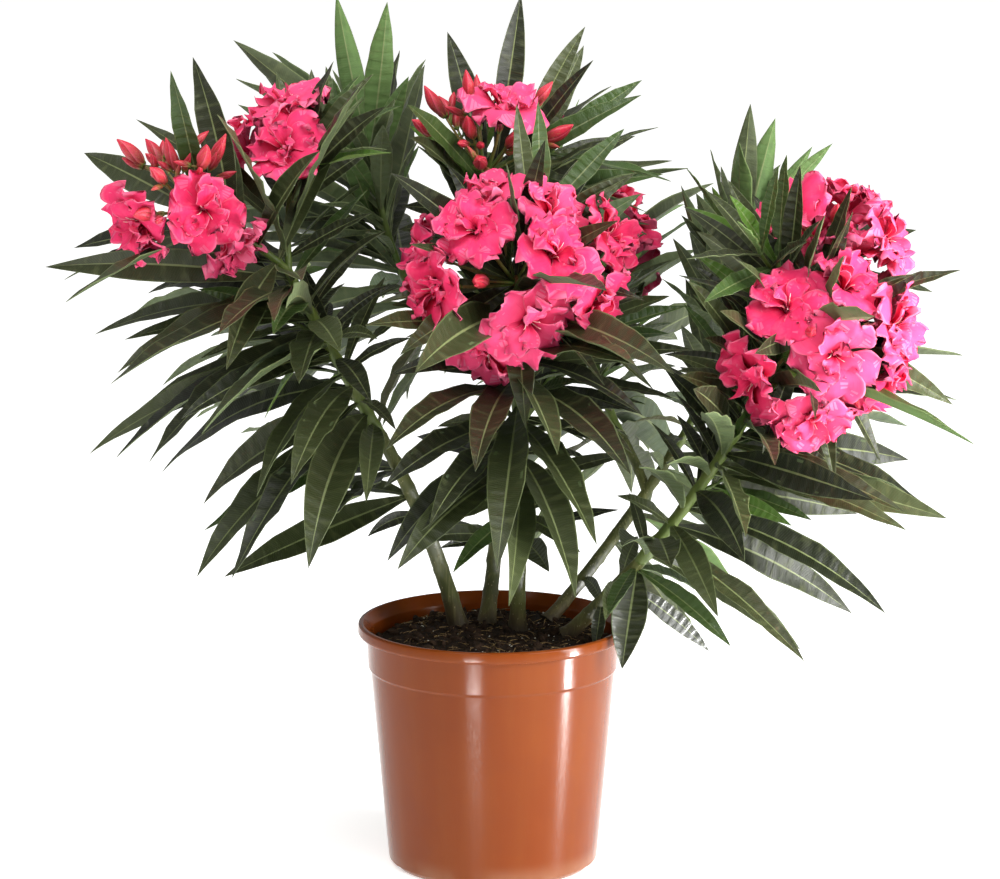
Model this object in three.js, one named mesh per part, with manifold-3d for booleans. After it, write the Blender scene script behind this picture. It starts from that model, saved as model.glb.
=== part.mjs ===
// A potted oleander: five stems out of a round plastic nursery pot, forking into boughs that carry
// masses of long leaves in whorls of three, with heads of double blooms and buds at their ends.
// Millimetres, +Z up, the front of the plant faces -Y. The origin is the centre of the pot's underside.
import * as THREE from "three";
import { mergeVertices } from "three/addons/utils/BufferGeometryUtils.js";
import Module from "manifold-3d";

const wasm = await Module();
wasm.setup();

// ---- Driving sizes -------------------------------------------------------------------------------

const GAP = 0.3; // between two pieces that meet

const POT = {
  height: 192,
  rimRadius: 105,
  rimDepth: 9,
  rimEdge: 2,
  lipWall: 4.2,
  bandRadius: 97,
  bandDepth: 27,
  bandFlare: 1.2,
  bandStep: 1,
  bodyTopRadius: 95,
  footRadius: 81.5,
  footChamfer: 4,
  wall: 2.4,
  floor: 3,
  sides: 32,
  notches: 8,
  notchWidth: 16,
  notchDepth: 7,
  notchHeight: 4,
};

const BAND_TOP = POT.height - POT.rimDepth;
const BAND_FOOT = BAND_TOP - POT.bandDepth;
const SHOULDER = BAND_FOOT - 2 * POT.bandStep; // where the wall steps out inside

const SOIL = {
  crownHeight: 183,
  crownRadius: 74,
  edgeHeight: 175,
  edgeSpread: 0.8,
  slack: 0.3,
  sides: 16,
};

const WHORL = 3; // leaves in a whorl
const WHORL_TURN = 60; // degrees that every other whorl is turned, so that leaves stand over gaps
const WHORL_CREEP = 9; // degrees that each whorl is turned on from the one below
const LEAF = { widthShare: 0.17, cupShare: 0.006, keelShare: 0.009 };
const LEAF_STATIONS = { straight: [0.22, 0.62], sagging: [0.16, 0.45, 0.77] };
const SAGGING = 14; // degrees of bend past which a leaf needs the second set
const MOST_FALL = 0.85; // of the way to hanging straight down
const LEAF_SCATTER = { bearing: 18, open: 10, length: 0.1, sag: 0.35, twist: 32 };
const UPPER_LEAN = { axis: 0.35, up: 0.55, light: 0.6 }; // what a leaf's upper face is turned to
const OUTWARD_GROWTH = 0.14; // how much longer a leaf is where it points outward
const LIMB_SIDES = 8;
const ROOT_FLARE = 0.3; // how much fatter a stem is at the soil
const FLARE_FADE = 14; // how soon along the stem that is gone
const TWIG = { sides: 5, steps: 4 };
const KNOT_RADIUS = 8; // the knot that a head's stalks spring from
const BUD = {
  radius: 3.3,
  body: [0.6, 0.9],
  stalkRadius: 0.9,
  dome: [4, 60],
  turn: 68, // degrees on from the blooms, so that the buds stand between them
  reach: [0.95, 1.25],
  seed: 800,
};
const BLOOM = {
  radius: 31,
  lobes: 5,
  notchShare: 0.8,
  lobeLift: 6,
  notchLift: 1,
  depth: 10,
  height: 11,
  seat: 3,
  stalkRadii: [1.3, 2],
  dome: [10, 88],
  reach: 0.95,
  reachScatter: 0.12,
  sizeScatter: 0.1,
  nod: 0.3,
  seed: 500,
};
const CELL_GAP = 1.6; // a leaf keeps this much inside its own mass's space
const LIMB_CLEARANCE = 2.5; // between a leaf and any stem or bough
const BLOOM_CLEARANCE = 26; // between a leaf and the middle of a bloom
const LEAF_CLEARANCE = 13; // between the midribs of two leaves, away from their roots
const EDGE_CLEARANCE = 1; // outside a leaf's edges
const POT_CLEARANCE = { above: 3, round: 4 };

// The bare limbs. A stem bends from the soil past one point to another and tapers between its two radii.
// A bough grows "on" from a limb's tip, straight for a while before it bends, or "off" its side at a share
// of its length.
const GROUND = SOIL.crownHeight;
const LIMBS = {
  stem_left: { from: [-27, 21, GROUND], bend: [-48, 14, 268], to: [-88, -2, 342], radii: [6.4, 4.8] },
  stem_back_left: { from: [-5, 28, GROUND], bend: [10, 50, 280], to: [-1, 72, 368], radii: [5.9, 4.3] },
  stem_centre: { from: [19, 8, GROUND], bend: [21, 2, 245], to: [20, -9, 306], radii: [6.1, 4.9] },
  stem_back_right: { from: [43, 34, GROUND], bend: [76, 58, 216], to: [117, 90, 268], radii: [5.2, 4.3] },
  stem_right: { from: [58, -11, GROUND], bend: [88, -24, 216], to: [113, -30, 246], radii: [6, 4.9] },
  bough_top: { on: "stem_back_left", straight: 20, to: [-8, 82, 408], radii: [4.3, 3.8] },
  bough_back_left: {
    off: "bough_top",
    share: 0.2,
    bend: [-20, 84, 386],
    to: [-42, 92, 404],
    radii: [3.8, 3.5],
  },
  bough_right_back: { on: "stem_back_right", straight: 20, to: [146, 106, 308], radii: [4.3, 3.7] },
  bough_back: {
    off: "bough_right_back",
    share: 0.2,
    bend: [118, 108, 288],
    to: [102, 126, 314],
    radii: [3.8, 3.6],
  },
};

// The masses of foliage. Each grows from its first shoot, which starts GAP past its limb's end. A shoot
// bends from one point past another to a third and carries whorls of leaves: "long" is the full leaf at
// the shoot's foot and at its tip, "open" the angle there between leaf and shoot, "sag" how far a leaf
// bends down along its length, "turn" the bearing of its first whorl and "outward" where leaves are longest.
// The leaves' faces are turned up and towards the mass's light. A mass with a claim holds that much more
// than the space nearest to its own shoots.
const MASSES = {
  leaves_left: {
    light: [0, -1, 0],
    shoots: [
      {
        on: "stem_left",
        straight: 60,
        to: [-155, -25, 471],
        radii: [4.8, 3.4],
        whorls: 11,
        long: [174, 160],
        open: [82, 62],
        sag: [36, 16],
        turn: 200,
        outward: [-1, -0.2, 0],
      },
      {
        from: [-155, -25, 471],
        bend: [-180, -38, 498],
        to: [-226, -46, 522],
        radii: [3, 2.2],
        whorls: 4,
        long: [150, 132],
        open: [74, 44],
        sag: [12, 8],
        turn: 150,
        outward: [-1, 0, 0],
      },
      {
        from: [-155, -25, 471],
        bend: [-158, -8, 515],
        to: [-150, 8, 556],
        radii: [3, 2],
        whorls: 5,
        long: [165, 100],
        open: [66, 20],
        sag: [16, 4],
        turn: 20,
        outward: [0, 0, 0],
      },
    ],
    heads: [
      { at: [-226, -46, 522], facing: [-0.1, -0.9, -0.3], radius: 46, blooms: 3, buds: 0, turn: 40 },
      { at: [-226, -46, 522], facing: [-0.5, -0.3, 0.8], radius: 62, blooms: 0, buds: 9, turn: 292 },
      { at: [-156, 7, 550], facing: [-0.5, 0, 0.8], radius: 46, blooms: 4, buds: 0, turn: 10 },
    ],
  },
  leaves_back_left: {
    light: [0, 1, 0],
    claim: 8,
    shoots: [
      {
        on: "bough_back_left",
        straight: 50,
        to: [-98, 100, 550],
        radii: [3.6, 2],
        whorls: 10,
        long: [175, 130],
        open: [86, 24],
        sag: [36, 4],
        turn: 80,
        outward: [-0.6, 0.6, 0],
      },
    ],
  },
  leaves_middle: {
    light: [0, -1, 0],
    claim: 12,
    shoots: [
      {
        off: "stem_back_left",
        share: 0.72,
        bend: [38, 50, 350],
        to: [66, 44, 418],
        radii: [3.4, 2.2],
        whorls: 8,
        long: [145, 120],
        open: [84, 30],
        sag: [20, 6],
        turn: 60,
        outward: [0, 0, 0],
      },
    ],
  },
  leaves_top: {
    light: [0, -1, 0],
    claim: 30,
    shoots: [
      {
        on: "bough_top",
        straight: 50,
        to: [-6, 76, 530],
        radii: [3.8, 2.6],
        whorls: 8,
        long: [168, 140],
        open: [84, 44],
        sag: [34, 6],
        turn: 15,
        outward: [0.8, 0.2, 0],
      },
      {
        from: [-6, 76, 530],
        bend: [12, 84, 544],
        to: [48, 88, 548],
        radii: [2.4, 1.8],
        whorls: 3,
        long: [140, 100],
        open: [60, 34],
        sag: [6, 0],
        turn: 100,
        outward: [0, 0, 0],
      },
    ],
    heads: [
      { at: [-6, 76, 530], facing: [0.05, -0.25, 1], radius: 76, blooms: 0, buds: 12, turn: 122 },
      { at: [-6, 76, 530], facing: [-0.3, -0.4, 0.9], radius: 76, blooms: 4, buds: 0, turn: 0 },
    ],
  },
  leaves_centre: {
    light: [0, -1, 0],
    claim: 28,
    shoots: [
      {
        on: "stem_centre",
        straight: 70,
        to: [18, -48, 466],
        radii: [4.9, 3.2],
        whorls: 11,
        long: [150, 185],
        open: [84, 64],
        sag: [30, 18],
        turn: 90,
        outward: [0, -1, 0],
      },
      {
        from: [18, -48, 466],
        bend: [30, -46, 494],
        to: [40, -40, 524],
        radii: [2.4, 1.8],
        whorls: 3,
        long: [120, 95],
        open: [44, 24],
        sag: [4, 0],
        turn: 0,
        outward: [0, 0, 0],
      },
    ],
    heads: [{ at: [18, -48, 466], facing: [0.03, -0.85, 0.4], radius: 78, blooms: 10, buds: 7, turn: 0 }],
  },
  leaves_right: {
    light: [0, -1, 0],
    shoots: [
      {
        on: "stem_right",
        straight: 85,
        to: [232, -54, 430],
        radii: [4.9, 3.2],
        whorls: 12,
        long: [150, 152],
        open: [74, 62],
        sag: [16, 14],
        turn: 10,
        outward: [1, -0.2, 0],
      },
      {
        from: [232, -54, 430],
        bend: [246, -40, 464],
        to: [264, -14, 494],
        radii: [2.8, 1.9],
        whorls: 4,
        long: [120, 90],
        open: [62, 24],
        sag: [12, 4],
        turn: 90,
        outward: [1, 0, 0],
      },
      {
        from: [232, -54, 430],
        bend: [222, -58, 462],
        to: [212, -60, 488],
        radii: [2.6, 1.9],
        whorls: 3,
        long: [120, 90],
        open: [44, 22],
        sag: [6, 2],
        turn: 0,
        outward: [0, 0, 0],
      },
    ],
    heads: [
      { at: [236, -56, 426], facing: [0.9, -0.85, -0.05], radius: 76, blooms: 10, buds: 5, turn: 30 },
      { at: [258, -20, 484], facing: [0.1, 0, 1], radius: 50, blooms: 4, buds: 3, turn: 60 },
    ],
  },
  leaves_right_back: {
    light: [0, 1, 0],
    shoots: [
      {
        on: "bough_right_back",
        straight: 60,
        to: [194, 104, 466],
        radii: [3.7, 2],
        whorls: 11,
        long: [170, 120],
        open: [86, 22],
        sag: [32, 4],
        turn: 30,
        outward: [0.5, 0.5, 0],
      },
    ],
  },
  leaves_back: {
    light: [0, 1, 0],
    shoots: [
      {
        on: "bough_back",
        straight: 50,
        to: [70, 164, 444],
        radii: [3.7, 2.6],
        whorls: 8,
        long: [170, 150],
        open: [86, 50],
        sag: [32, 12],
        turn: 70,
        outward: [0, 1, 0],
      },
      {
        from: [70, 164, 444],
        bend: [62, 160, 478],
        to: [52, 152, 508],
        radii: [2.4, 1.8],
        whorls: 4,
        long: [140, 95],
        open: [48, 24],
        sag: [4, 0],
        turn: 20,
        outward: [0, 0, 0],
      },
    ],
    heads: [{ at: [70, 164, 444], facing: [-0.1, 0.8, 0.5], radius: 60, blooms: 8, buds: 4, turn: 0 }],
  },
};

const COLOURS = {
  pot: 0xb5562f,
  soil: 0x2b211b,
  limb: 0x7b7a4a,
  leaves: 0x3d4f2c,
};

// ---- Small helpers -------------------------------------------------------------------------------

const vec = (p) => new THREE.Vector3(...p);
const quadratic = (from, bend, to) => new THREE.QuadraticBezierCurve3(from, bend, to);
const DOWN = new THREE.Vector3(0, 0, -1);
const UP = new THREE.Vector3(0, 0, 1);
const radians = THREE.MathUtils.degToRad;
const mix = THREE.MathUtils.lerp;

// The part of a that is square to b, as a unit vector.
const squareTo = (a, b) => a.clone().addScaledVector(b, -a.dot(b)).normalize();

// A repeatable stream of numbers from 0 to 1.
function dice(seed) {
  let state = (seed * 7919 + 12345) % 4294967296;
  const roll = () => {
    state = (state * 1664525 + 1013904223) % 4294967296;
    return state / 4294967296;
  };
  for (let i = 0; i < 4; i++) roll();
  return roll;
}

const spread = (roll, size) => (roll() * 2 - 1) * size;

// The line of a limb or shoot. One that grows on from a limb leaves its tip in the limb's own direction,
// "lift" clear of it.
function bent(shape, lift = 0) {
  const to = vec(shape.to);
  if (shape.on) {
    const parent = bent(LIMBS[shape.on]);
    const along = parent.getTangent(1);
    const from = parent.getPoint(1).addScaledVector(along, lift);
    return quadratic(from, from.clone().addScaledVector(along, shape.straight), to);
  }
  const from = shape.off ? bent(LIMBS[shape.off]).getPoint(shape.share) : vec(shape.from);
  return quadratic(from, vec(shape.bend), to);
}

// A closed mesh as a solid that can be joined and cut.
function solidOf(geometry) {
  const bare = geometry.index ? geometry.toNonIndexed() : geometry;
  const points = new THREE.BufferGeometry().setAttribute("position", bare.getAttribute("position"));
  const merged = mergeVertices(points, 1e-4);
  const mesh = new wasm.Mesh({
    numProp: 3,
    vertProperties: merged.attributes.position.array,
    triVerts: new Uint32Array(merged.index.array),
  });
  return new wasm.Manifold(mesh);
}

function geometryOf(solid) {
  const mesh = solid.getMesh();
  const geometry = new THREE.BufferGeometry();
  geometry.setAttribute("position", new THREE.BufferAttribute(mesh.vertProperties, 3));
  geometry.setIndex(new THREE.BufferAttribute(mesh.triVerts, 1));
  geometry.computeVertexNormals();
  return geometry;
}

// Joins solids pair by pair.
function joined(solids) {
  let left = solids;
  while (left.length > 1) {
    const next = [];
    for (let i = 0; i < left.length; i += 2) {
      next.push(i + 1 < left.length ? left[i].add(left[i + 1]) : left[i]);
    }
    left = next;
  }
  return left[0];
}

function named(name, geometry, color, roughness) {
  const material = new THREE.MeshStandardMaterial({ color, roughness, metalness: 0 });
  const mesh = new THREE.Mesh(geometry, material);
  mesh.name = name;
  return mesh;
}

// ---- Swept shapes --------------------------------------------------------------------------------

// A closed skin over rings of points. A ring of one point is a tip, and any other end is closed flat.
function skinOver(rings) {
  const positions = rings.flat().flatMap((p) => [p.x, p.y, p.z]);
  const faces = [];
  let first = 0;
  rings.forEach((ring, i) => {
    const next = rings[i + 1];
    const size = ring.length;
    if (size > 2 && (i === 0 || !next)) {
      for (let k = 1; k < size - 1; k++) {
        const cap = [first, first + k + 1, first + k];
        faces.push(...(i === 0 ? cap : cap.reverse()));
      }
    }
    if (next) {
      const after = first + size;
      const sides = Math.max(size, next.length);
      for (let k = 0; k < sides; k++) {
        const near = [first + (k % size), first + ((k + 1) % size)];
        const far = [after + (k % next.length), after + ((k + 1) % next.length)];
        if (size > 1) faces.push(near[0], near[1], far[1]);
        if (next.length > 1) faces.push(near[0], far[1], far[0]);
      }
    }
    first += size;
  });
  const geometry = new THREE.BufferGeometry();
  geometry.setAttribute("position", new THREE.Float32BufferAttribute(positions, 3));
  geometry.setIndex(faces);
  return geometry;
}

// A round limb along a curve, with its radius given at each share of its length.
function limbAlong(curve, radiusAt, sides, steps) {
  const rings = [];
  let side = squareTo(new THREE.Vector3(1, 0.2, 0), curve.getTangent(0));
  for (let i = 0; i <= steps; i++) {
    const t = i / steps;
    const tangent = curve.getTangent(t);
    side = squareTo(side, tangent);
    const other = tangent.clone().cross(side);
    const centre = curve.getPoint(t);
    const radius = radiusAt(t);
    const ring = [];
    for (let k = 0; k < sides; k++) {
      const angle = (2 * Math.PI * k) / sides;
      const out = side.clone().multiplyScalar(Math.cos(angle)).addScaledVector(other, Math.sin(angle));
      ring.push(centre.clone().addScaledVector(out, radius));
    }
    rings.push(ring);
  }
  return skinOver(rings);
}

// ---- The pot and its soil ------------------------------------------------------------------------

function potGeometry() {
  const p = POT;
  const outside = [
    [0, 0],
    [p.footRadius - p.footChamfer, 0],
    [p.footRadius, p.footChamfer],
    [p.bodyTopRadius, BAND_FOOT - p.bandStep],
    [p.bandRadius, BAND_FOOT + p.bandStep],
    [p.bandRadius + p.bandFlare, BAND_TOP],
    [p.rimRadius - p.rimEdge / 2, BAND_TOP],
    [p.rimRadius, BAND_TOP + p.rimEdge],
    [p.rimRadius - p.rimEdge / 4, p.height - p.rimEdge / 2],
    [p.rimRadius - p.rimEdge, p.height],
  ];
  const inside = [
    [p.rimRadius - p.lipWall, p.height],
    [p.bandRadius + p.bandStep - p.wall, BAND_TOP],
    [p.bodyTopRadius - p.wall, SHOULDER],
    [p.footRadius - p.wall, p.footChamfer + p.floor],
    [p.footRadius - p.wall - p.footChamfer, p.floor],
    [0, p.floor],
  ];
  const profile = [...outside, ...inside].map(([r, z]) => new THREE.Vector2(r, z));
  const shell = solidOf(new THREE.LatheGeometry(profile, p.sides).rotateX(Math.PI / 2));
  const cuts = [];
  for (let i = 0; i < p.notches; i++) {
    const notch = new THREE.BoxGeometry(p.notchDepth * 2, p.notchWidth, 2 * p.notchHeight);
    notch.translate(p.footRadius, 0, 0);
    notch.rotateZ((2 * Math.PI * (i + 0.5)) / p.notches);
    cuts.push(solidOf(notch));
  }
  return geometryOf(shell.subtract(joined(cuts)));
}

// The soil fills the pot to just under its band, and heaps up to a flat crown round the stems.
function soilGeometry() {
  const inFoot = POT.footRadius - POT.wall - GAP - SOIL.slack;
  const inBody = POT.bodyTopRadius - POT.wall - GAP - SOIL.slack;
  const profile = [
    [0, POT.floor + GAP],
    [inFoot - POT.footChamfer, POT.floor + GAP],
    [inFoot, POT.footChamfer + POT.floor],
    [inBody, SHOULDER],
    [inBody + SOIL.edgeSpread, SOIL.edgeHeight],
    [SOIL.crownRadius, SOIL.crownHeight],
    [0, SOIL.crownHeight],
  ].map(([r, z]) => new THREE.Vector2(r, z));
  return new THREE.LatheGeometry(profile, SOIL.sides).rotateX(Math.PI / 2);
}

// ---- Stems and boughs ----------------------------------------------------------------------------

// A limb as a solid, "swell" fatter than it is.
function limbSolid(limb, swell = 0) {
  const flare = (t) => (limb.from ? 1 + ROOT_FLARE * Math.exp(-t * FLARE_FADE) : 1);
  const radiusAt = (t) => mix(...limb.radii, t) * flare(t) + swell;
  return solidOf(limbAlong(bent(limb, GAP - swell), radiusAt, LIMB_SIDES, limb.from ? 6 : 4));
}

// What grows off the side of a limb is cut to sit against it, GAP clear.
const seated = (solid, shape) => (shape.off ? solid.subtract(limbSolid(LIMBS[shape.off], GAP)) : solid);

function limbGeometry(limb) {
  const solid = seated(limbSolid(limb), limb);
  // A stem ends in a flat cut at the soil, however far it leans.
  return geometryOf(limb.from ? solid.trimByPlane([0, 0, 1], GROUND + GAP) : solid);
}

// ---- Leaves --------------------------------------------------------------------------------------

// A line that leaves its start in one direction and ends in another.
function bladeLine(start, direction, ending, length) {
  const middle = start.clone().addScaledVector(direction, length / 2);
  const end = middle.clone().addScaledVector(ending, length / 2);
  return new THREE.QuadraticBezierCurve3(start, middle, end);
}

// A cupped blade as a solid: at each station its two edges and its keel.
function leafGeometry(blade) {
  const rings = [[blade.line.getPoint(0)]];
  for (const s of blade.sag > radians(SAGGING) ? LEAF_STATIONS.sagging : LEAF_STATIONS.straight) {
    const tangent = blade.line.getTangent(s);
    const across = squareTo(blade.side, tangent);
    const normal = tangent.clone().cross(across);
    const centre = blade.line.getPoint(s);
    const edge = (sign) =>
      centre
        .clone()
        .addScaledVector(across, sign * blade.halfWidth(s))
        .addScaledVector(normal, blade.length * LEAF.cupShare);
    rings.push([edge(1), edge(-1), centre.addScaledVector(normal, -blade.length * LEAF.keelShare)]);
  }
  rings.push([blade.line.getPoint(1)]);
  return skinOver(rings);
}

// An oleander leaf is a narrow lance that tapers evenly to both ends.
const leafShape = (s) => Math.pow(Math.sin(Math.PI * s), 0.95);

// A leaf's midrib, the way across it at its root and its half width along its length.
function leafBlade(root, direction, upper, length, sag, twist) {
  const hinge = direction.clone().cross(DOWN).normalize();
  const fall = Math.min(sag, direction.angleTo(DOWN) * MOST_FALL);
  const ending = direction.clone().applyAxisAngle(hinge, fall);
  const side = squareTo(upper, direction).cross(direction).normalize().applyAxisAngle(direction, twist);
  const halfWidth = (s) => (length * LEAF.widthShare * leafShape(s)) / 2;
  return { line: bladeLine(root, direction, ending, length), side, halfWidth, length, sag };
}

// ---- The space of each mass ----------------------------------------------------------------------

// A shape's line as a few straight pieces.
function pieces(shape) {
  const points = bent(shape).getPoints(3);
  return points.slice(1).map((p, i) => new THREE.Line3(points[i], p));
}

const shootLines = Object.entries(MASSES).flatMap(([mass, { shoots, claim = 0 }]) =>
  shoots.flatMap(pieces).map((line) => ({ mass, line, claim })),
);

const limbLines = Object.values(LIMBS).flatMap((limb) =>
  pieces(limb).map((line) => ({ line, radius: limb.radii[0] })),
);

const nearest = new THREE.Vector3();
const distanceTo = (line, p) => line.closestPointToPoint(p, true, nearest).distanceTo(p);

// True if a point is in the mass's own space: nearer to its shoots than to those of any other mass, with
// each one's claim allowed for, clear of every limb, and clear of the pot.
function inSpace(p, mass) {
  let own = Infinity;
  let other = Infinity;
  for (const shoot of shootLines) {
    const d = distanceTo(shoot.line, p) - shoot.claim;
    if (shoot.mass === mass) own = Math.min(own, d);
    else other = Math.min(other, d);
  }
  if (own + CELL_GAP > other) return false;
  if (limbLines.some((limb) => distanceTo(limb.line, p) < limb.radius + LIMB_CLEARANCE)) return false;
  if (p.z > POT.height + POT_CLEARANCE.above) return true;
  return Math.hypot(p.x, p.y) > POT.rimRadius + POT_CLEARANCE.round;
}

const PROBES = [0.14, 0.3, 0.45, 0.6, 0.75, 0.88, 1]; // where along a leaf its room is tested

// The part of a leaf's midrib that keeps away from other leaves.
const midrib = (blade) => PROBES.slice(2).map((s) => blade.line.getPoint(s));

// True if a leaf lies in its mass's space, clear of the blooms and of the midribs already grown.
function bladeFits(blade, mass, blooms, ribs) {
  const tooNear = (p) => ribs.some((rib) => rib.some((q) => p.distanceTo(q) < LEAF_CLEARANCE));
  if (midrib(blade).some(tooNear)) return false;
  return PROBES.every((s) => {
    const tangent = blade.line.getTangent(s);
    const across = squareTo(blade.side, tangent);
    const centre = blade.line.getPoint(s);
    const half = blade.halfWidth(s) + EDGE_CLEARANCE;
    if (blooms.some((bloom) => bloom.centre.distanceTo(centre) < BLOOM_CLEARANCE)) return false;
    return [-1, 0, 1].every((sign) => inSpace(centre.clone().addScaledVector(across, sign * half), mass));
  });
}

// ---- The rule by which a shoot grows leaves ------------------------------------------------------

const LENGTHS_TRIED = [1, 0.85, 0.7, 0.55, 0.42];
const TURNS_TRIED = [0, 24, -24, 48, -48];

// Every leaf of a shoot that fits its mass's space, clear of the blooms there. A leaf that doesn't fit is
// turned, then shortened, then skipped.
function leavesOf(shoot, name, blooms, ribs, seed) {
  const line = bent(shoot);
  const outward = vec(shoot.outward);
  const light = vec(MASSES[name].light);
  const blades = [];
  for (let i = 0; i < shoot.whorls; i++) {
    const share = (i + 0.6) / shoot.whorls;
    const root = line.getPoint(share);
    const axis = line.getTangent(share);
    const across = squareTo(new THREE.Vector3(1, 0, 0), axis);
    const other = axis.clone().cross(across);
    const upper = axis
      .clone()
      .multiplyScalar(UPPER_LEAN.axis)
      .addScaledVector(UP, UPPER_LEAN.up)
      .addScaledVector(light, UPPER_LEAN.light);
    const first = shoot.turn + (i % 2) * WHORL_TURN + i * WHORL_CREEP;
    for (let k = 0; k < WHORL; k++) {
      const roll = dice(seed * 1000 + i * WHORL + k);
      const bearing = first + (k * 360) / WHORL + spread(roll, LEAF_SCATTER.bearing);
      const open = radians(mix(...shoot.open, share) + spread(roll, LEAF_SCATTER.open));
      const grown = mix(...shoot.long, share) * (1 + spread(roll, LEAF_SCATTER.length));
      const sag = radians(mix(...shoot.sag, share) * (1 + spread(roll, LEAF_SCATTER.sag)));
      const twist = radians(spread(roll, LEAF_SCATTER.twist));
      const leafAt = (turned, shortened) => {
        const angle = radians(bearing + turned);
        const radial = across
          .clone()
          .multiplyScalar(Math.cos(angle))
          .addScaledVector(other, Math.sin(angle));
        const direction = axis
          .clone()
          .multiplyScalar(Math.cos(open))
          .addScaledVector(radial, Math.sin(open));
        const length = grown * shortened * (1 + OUTWARD_GROWTH * radial.dot(outward));
        return leafBlade(root, direction, upper, length, sag, twist);
      };
      const tries = LENGTHS_TRIED.flatMap((short) => TURNS_TRIED.map((turned) => [turned, short]));
      const fit = tries.find((way) => bladeFits(leafAt(...way), name, blooms, ribs));
      if (!fit) continue;
      blades.push(leafAt(...fit));
      ribs.push(midrib(leafAt(...fit)));
    }
  }
  return blades;
}

// ---- Blooms and buds -----------------------------------------------------------------------------

const GOLDEN_ANGLE = 137.508;

// Directions spread over a dome round a head, between two angles from the way it faces.
function domeOf(head, count, [from, to], turn = 0) {
  const facing = vec(head.facing).normalize();
  const across = squareTo(new THREE.Vector3(1, 0, 0.1), facing);
  const other = facing.clone().cross(across);
  return Array.from({ length: count }, (_, i) => {
    const tilt = Math.acos(mix(Math.cos(radians(from)), Math.cos(radians(to)), (i + 0.5) / count));
    const bearing = radians(head.turn + turn + i * GOLDEN_ANGLE);
    return facing
      .clone()
      .multiplyScalar(Math.cos(tilt))
      .addScaledVector(across, Math.sin(tilt) * Math.cos(bearing))
      .addScaledVector(other, Math.sin(tilt) * Math.sin(bearing));
  });
}

// The blooms of a head that fit the mass's space: where each sits, how it faces and its rim.
function bloomsOf(head, mass, seed) {
  const at = vec(head.at);
  return domeOf(head, head.blooms, BLOOM.dome).flatMap((way, i) => {
    const roll = dice(seed * 1000 + BLOOM.seed + i);
    const reach = head.radius * (BLOOM.reach + spread(roll, BLOOM.reachScatter));
    const centre = at.clone().addScaledVector(way, reach);
    const nod = vec([BLOOM.nod, BLOOM.nod, BLOOM.nod].map((size) => spread(roll, size)));
    const facing = way.clone().add(nod).normalize();
    const radius = BLOOM.radius * (1 + spread(roll, BLOOM.sizeScatter));
    const bloom = { centre, facing, radius, turn: (roll() * 360) / BLOOM.lobes };
    const rim = rimOf(bloom);
    return [centre, ...rim].every((p) => inSpace(p, mass)) ? [{ ...bloom, rim }] : [];
  });
}

// The lobes of a bloom and the notches between them, as a ring about its axis.
function rimOf({ centre, facing, radius, turn }) {
  const across = squareTo(new THREE.Vector3(0.2, 1, 0.4), facing);
  const other = facing.clone().cross(across);
  return Array.from({ length: BLOOM.lobes * 2 }, (_, k) => {
    const bearing = radians(turn + (k * 180) / BLOOM.lobes);
    const reach = radius * (k % 2 ? BLOOM.notchShare : 1);
    return centre
      .clone()
      .addScaledVector(across, reach * Math.cos(bearing))
      .addScaledVector(other, reach * Math.sin(bearing))
      .addScaledVector(facing, k % 2 ? BLOOM.notchLift : BLOOM.lobeLift);
  });
}

// A double bloom: a throat that opens to a lobed rim, with its inner petals heaped in the middle.
function bloomGeometry({ centre, facing, rim }) {
  const throat = centre.clone().addScaledVector(facing, -BLOOM.depth);
  const crown = centre.clone().addScaledVector(facing, BLOOM.height);
  return skinOver([[throat], rim, [crown]]);
}

// The tips of a head's buds that fit the mass's space.
function budsOf(head, mass, seed) {
  return domeOf(head, head.buds, BUD.dome, BUD.turn)
    .map((way, i) => {
      const roll = dice(seed * 1000 + BUD.seed + i);
      return vec(head.at).addScaledVector(way, head.radius * mix(...BUD.reach, roll()));
    })
    .filter((tip) => inSpace(tip, mass));
}

// A head's stalks as lines from its knot, each with a bloom or a bud at its end.
function stalksOf(head, blooms, buds) {
  const at = vec(head.at);
  const seat = BLOOM.seat - BLOOM.depth;
  const throats = blooms.map(({ centre, facing }) => centre.clone().addScaledVector(facing, seat));
  return [...throats, ...buds].map((end) => new THREE.LineCurve3(at, end));
}

function headSolids(head, blooms, buds) {
  const stalks = stalksOf(head, blooms, buds);
  const toBloom = (t) => mix(...BLOOM.stalkRadii, t);
  const toBud = (t) => (t > BUD.body[0] && t < BUD.body[1] ? BUD.radius : BUD.stalkRadius);
  return [
    solidOf(new THREE.IcosahedronGeometry(KNOT_RADIUS, 0).translate(...head.at)),
    ...stalks.slice(0, blooms.length).map((line) => solidOf(limbAlong(line, toBloom, 3, 1))),
    ...stalks.slice(blooms.length).map((line) => solidOf(limbAlong(line, toBud, 3, 4))),
    ...blooms.map((bloom) => solidOf(bloomGeometry(bloom))),
  ];
}

// ---- Masses --------------------------------------------------------------------------------------

function shootSolid(shoot) {
  const radiusAt = (t) => mix(...shoot.radii, t);
  return solidOf(limbAlong(bent(shoot, GAP), radiusAt, shoot.on ? LIMB_SIDES : TWIG.sides, TWIG.steps));
}

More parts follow.
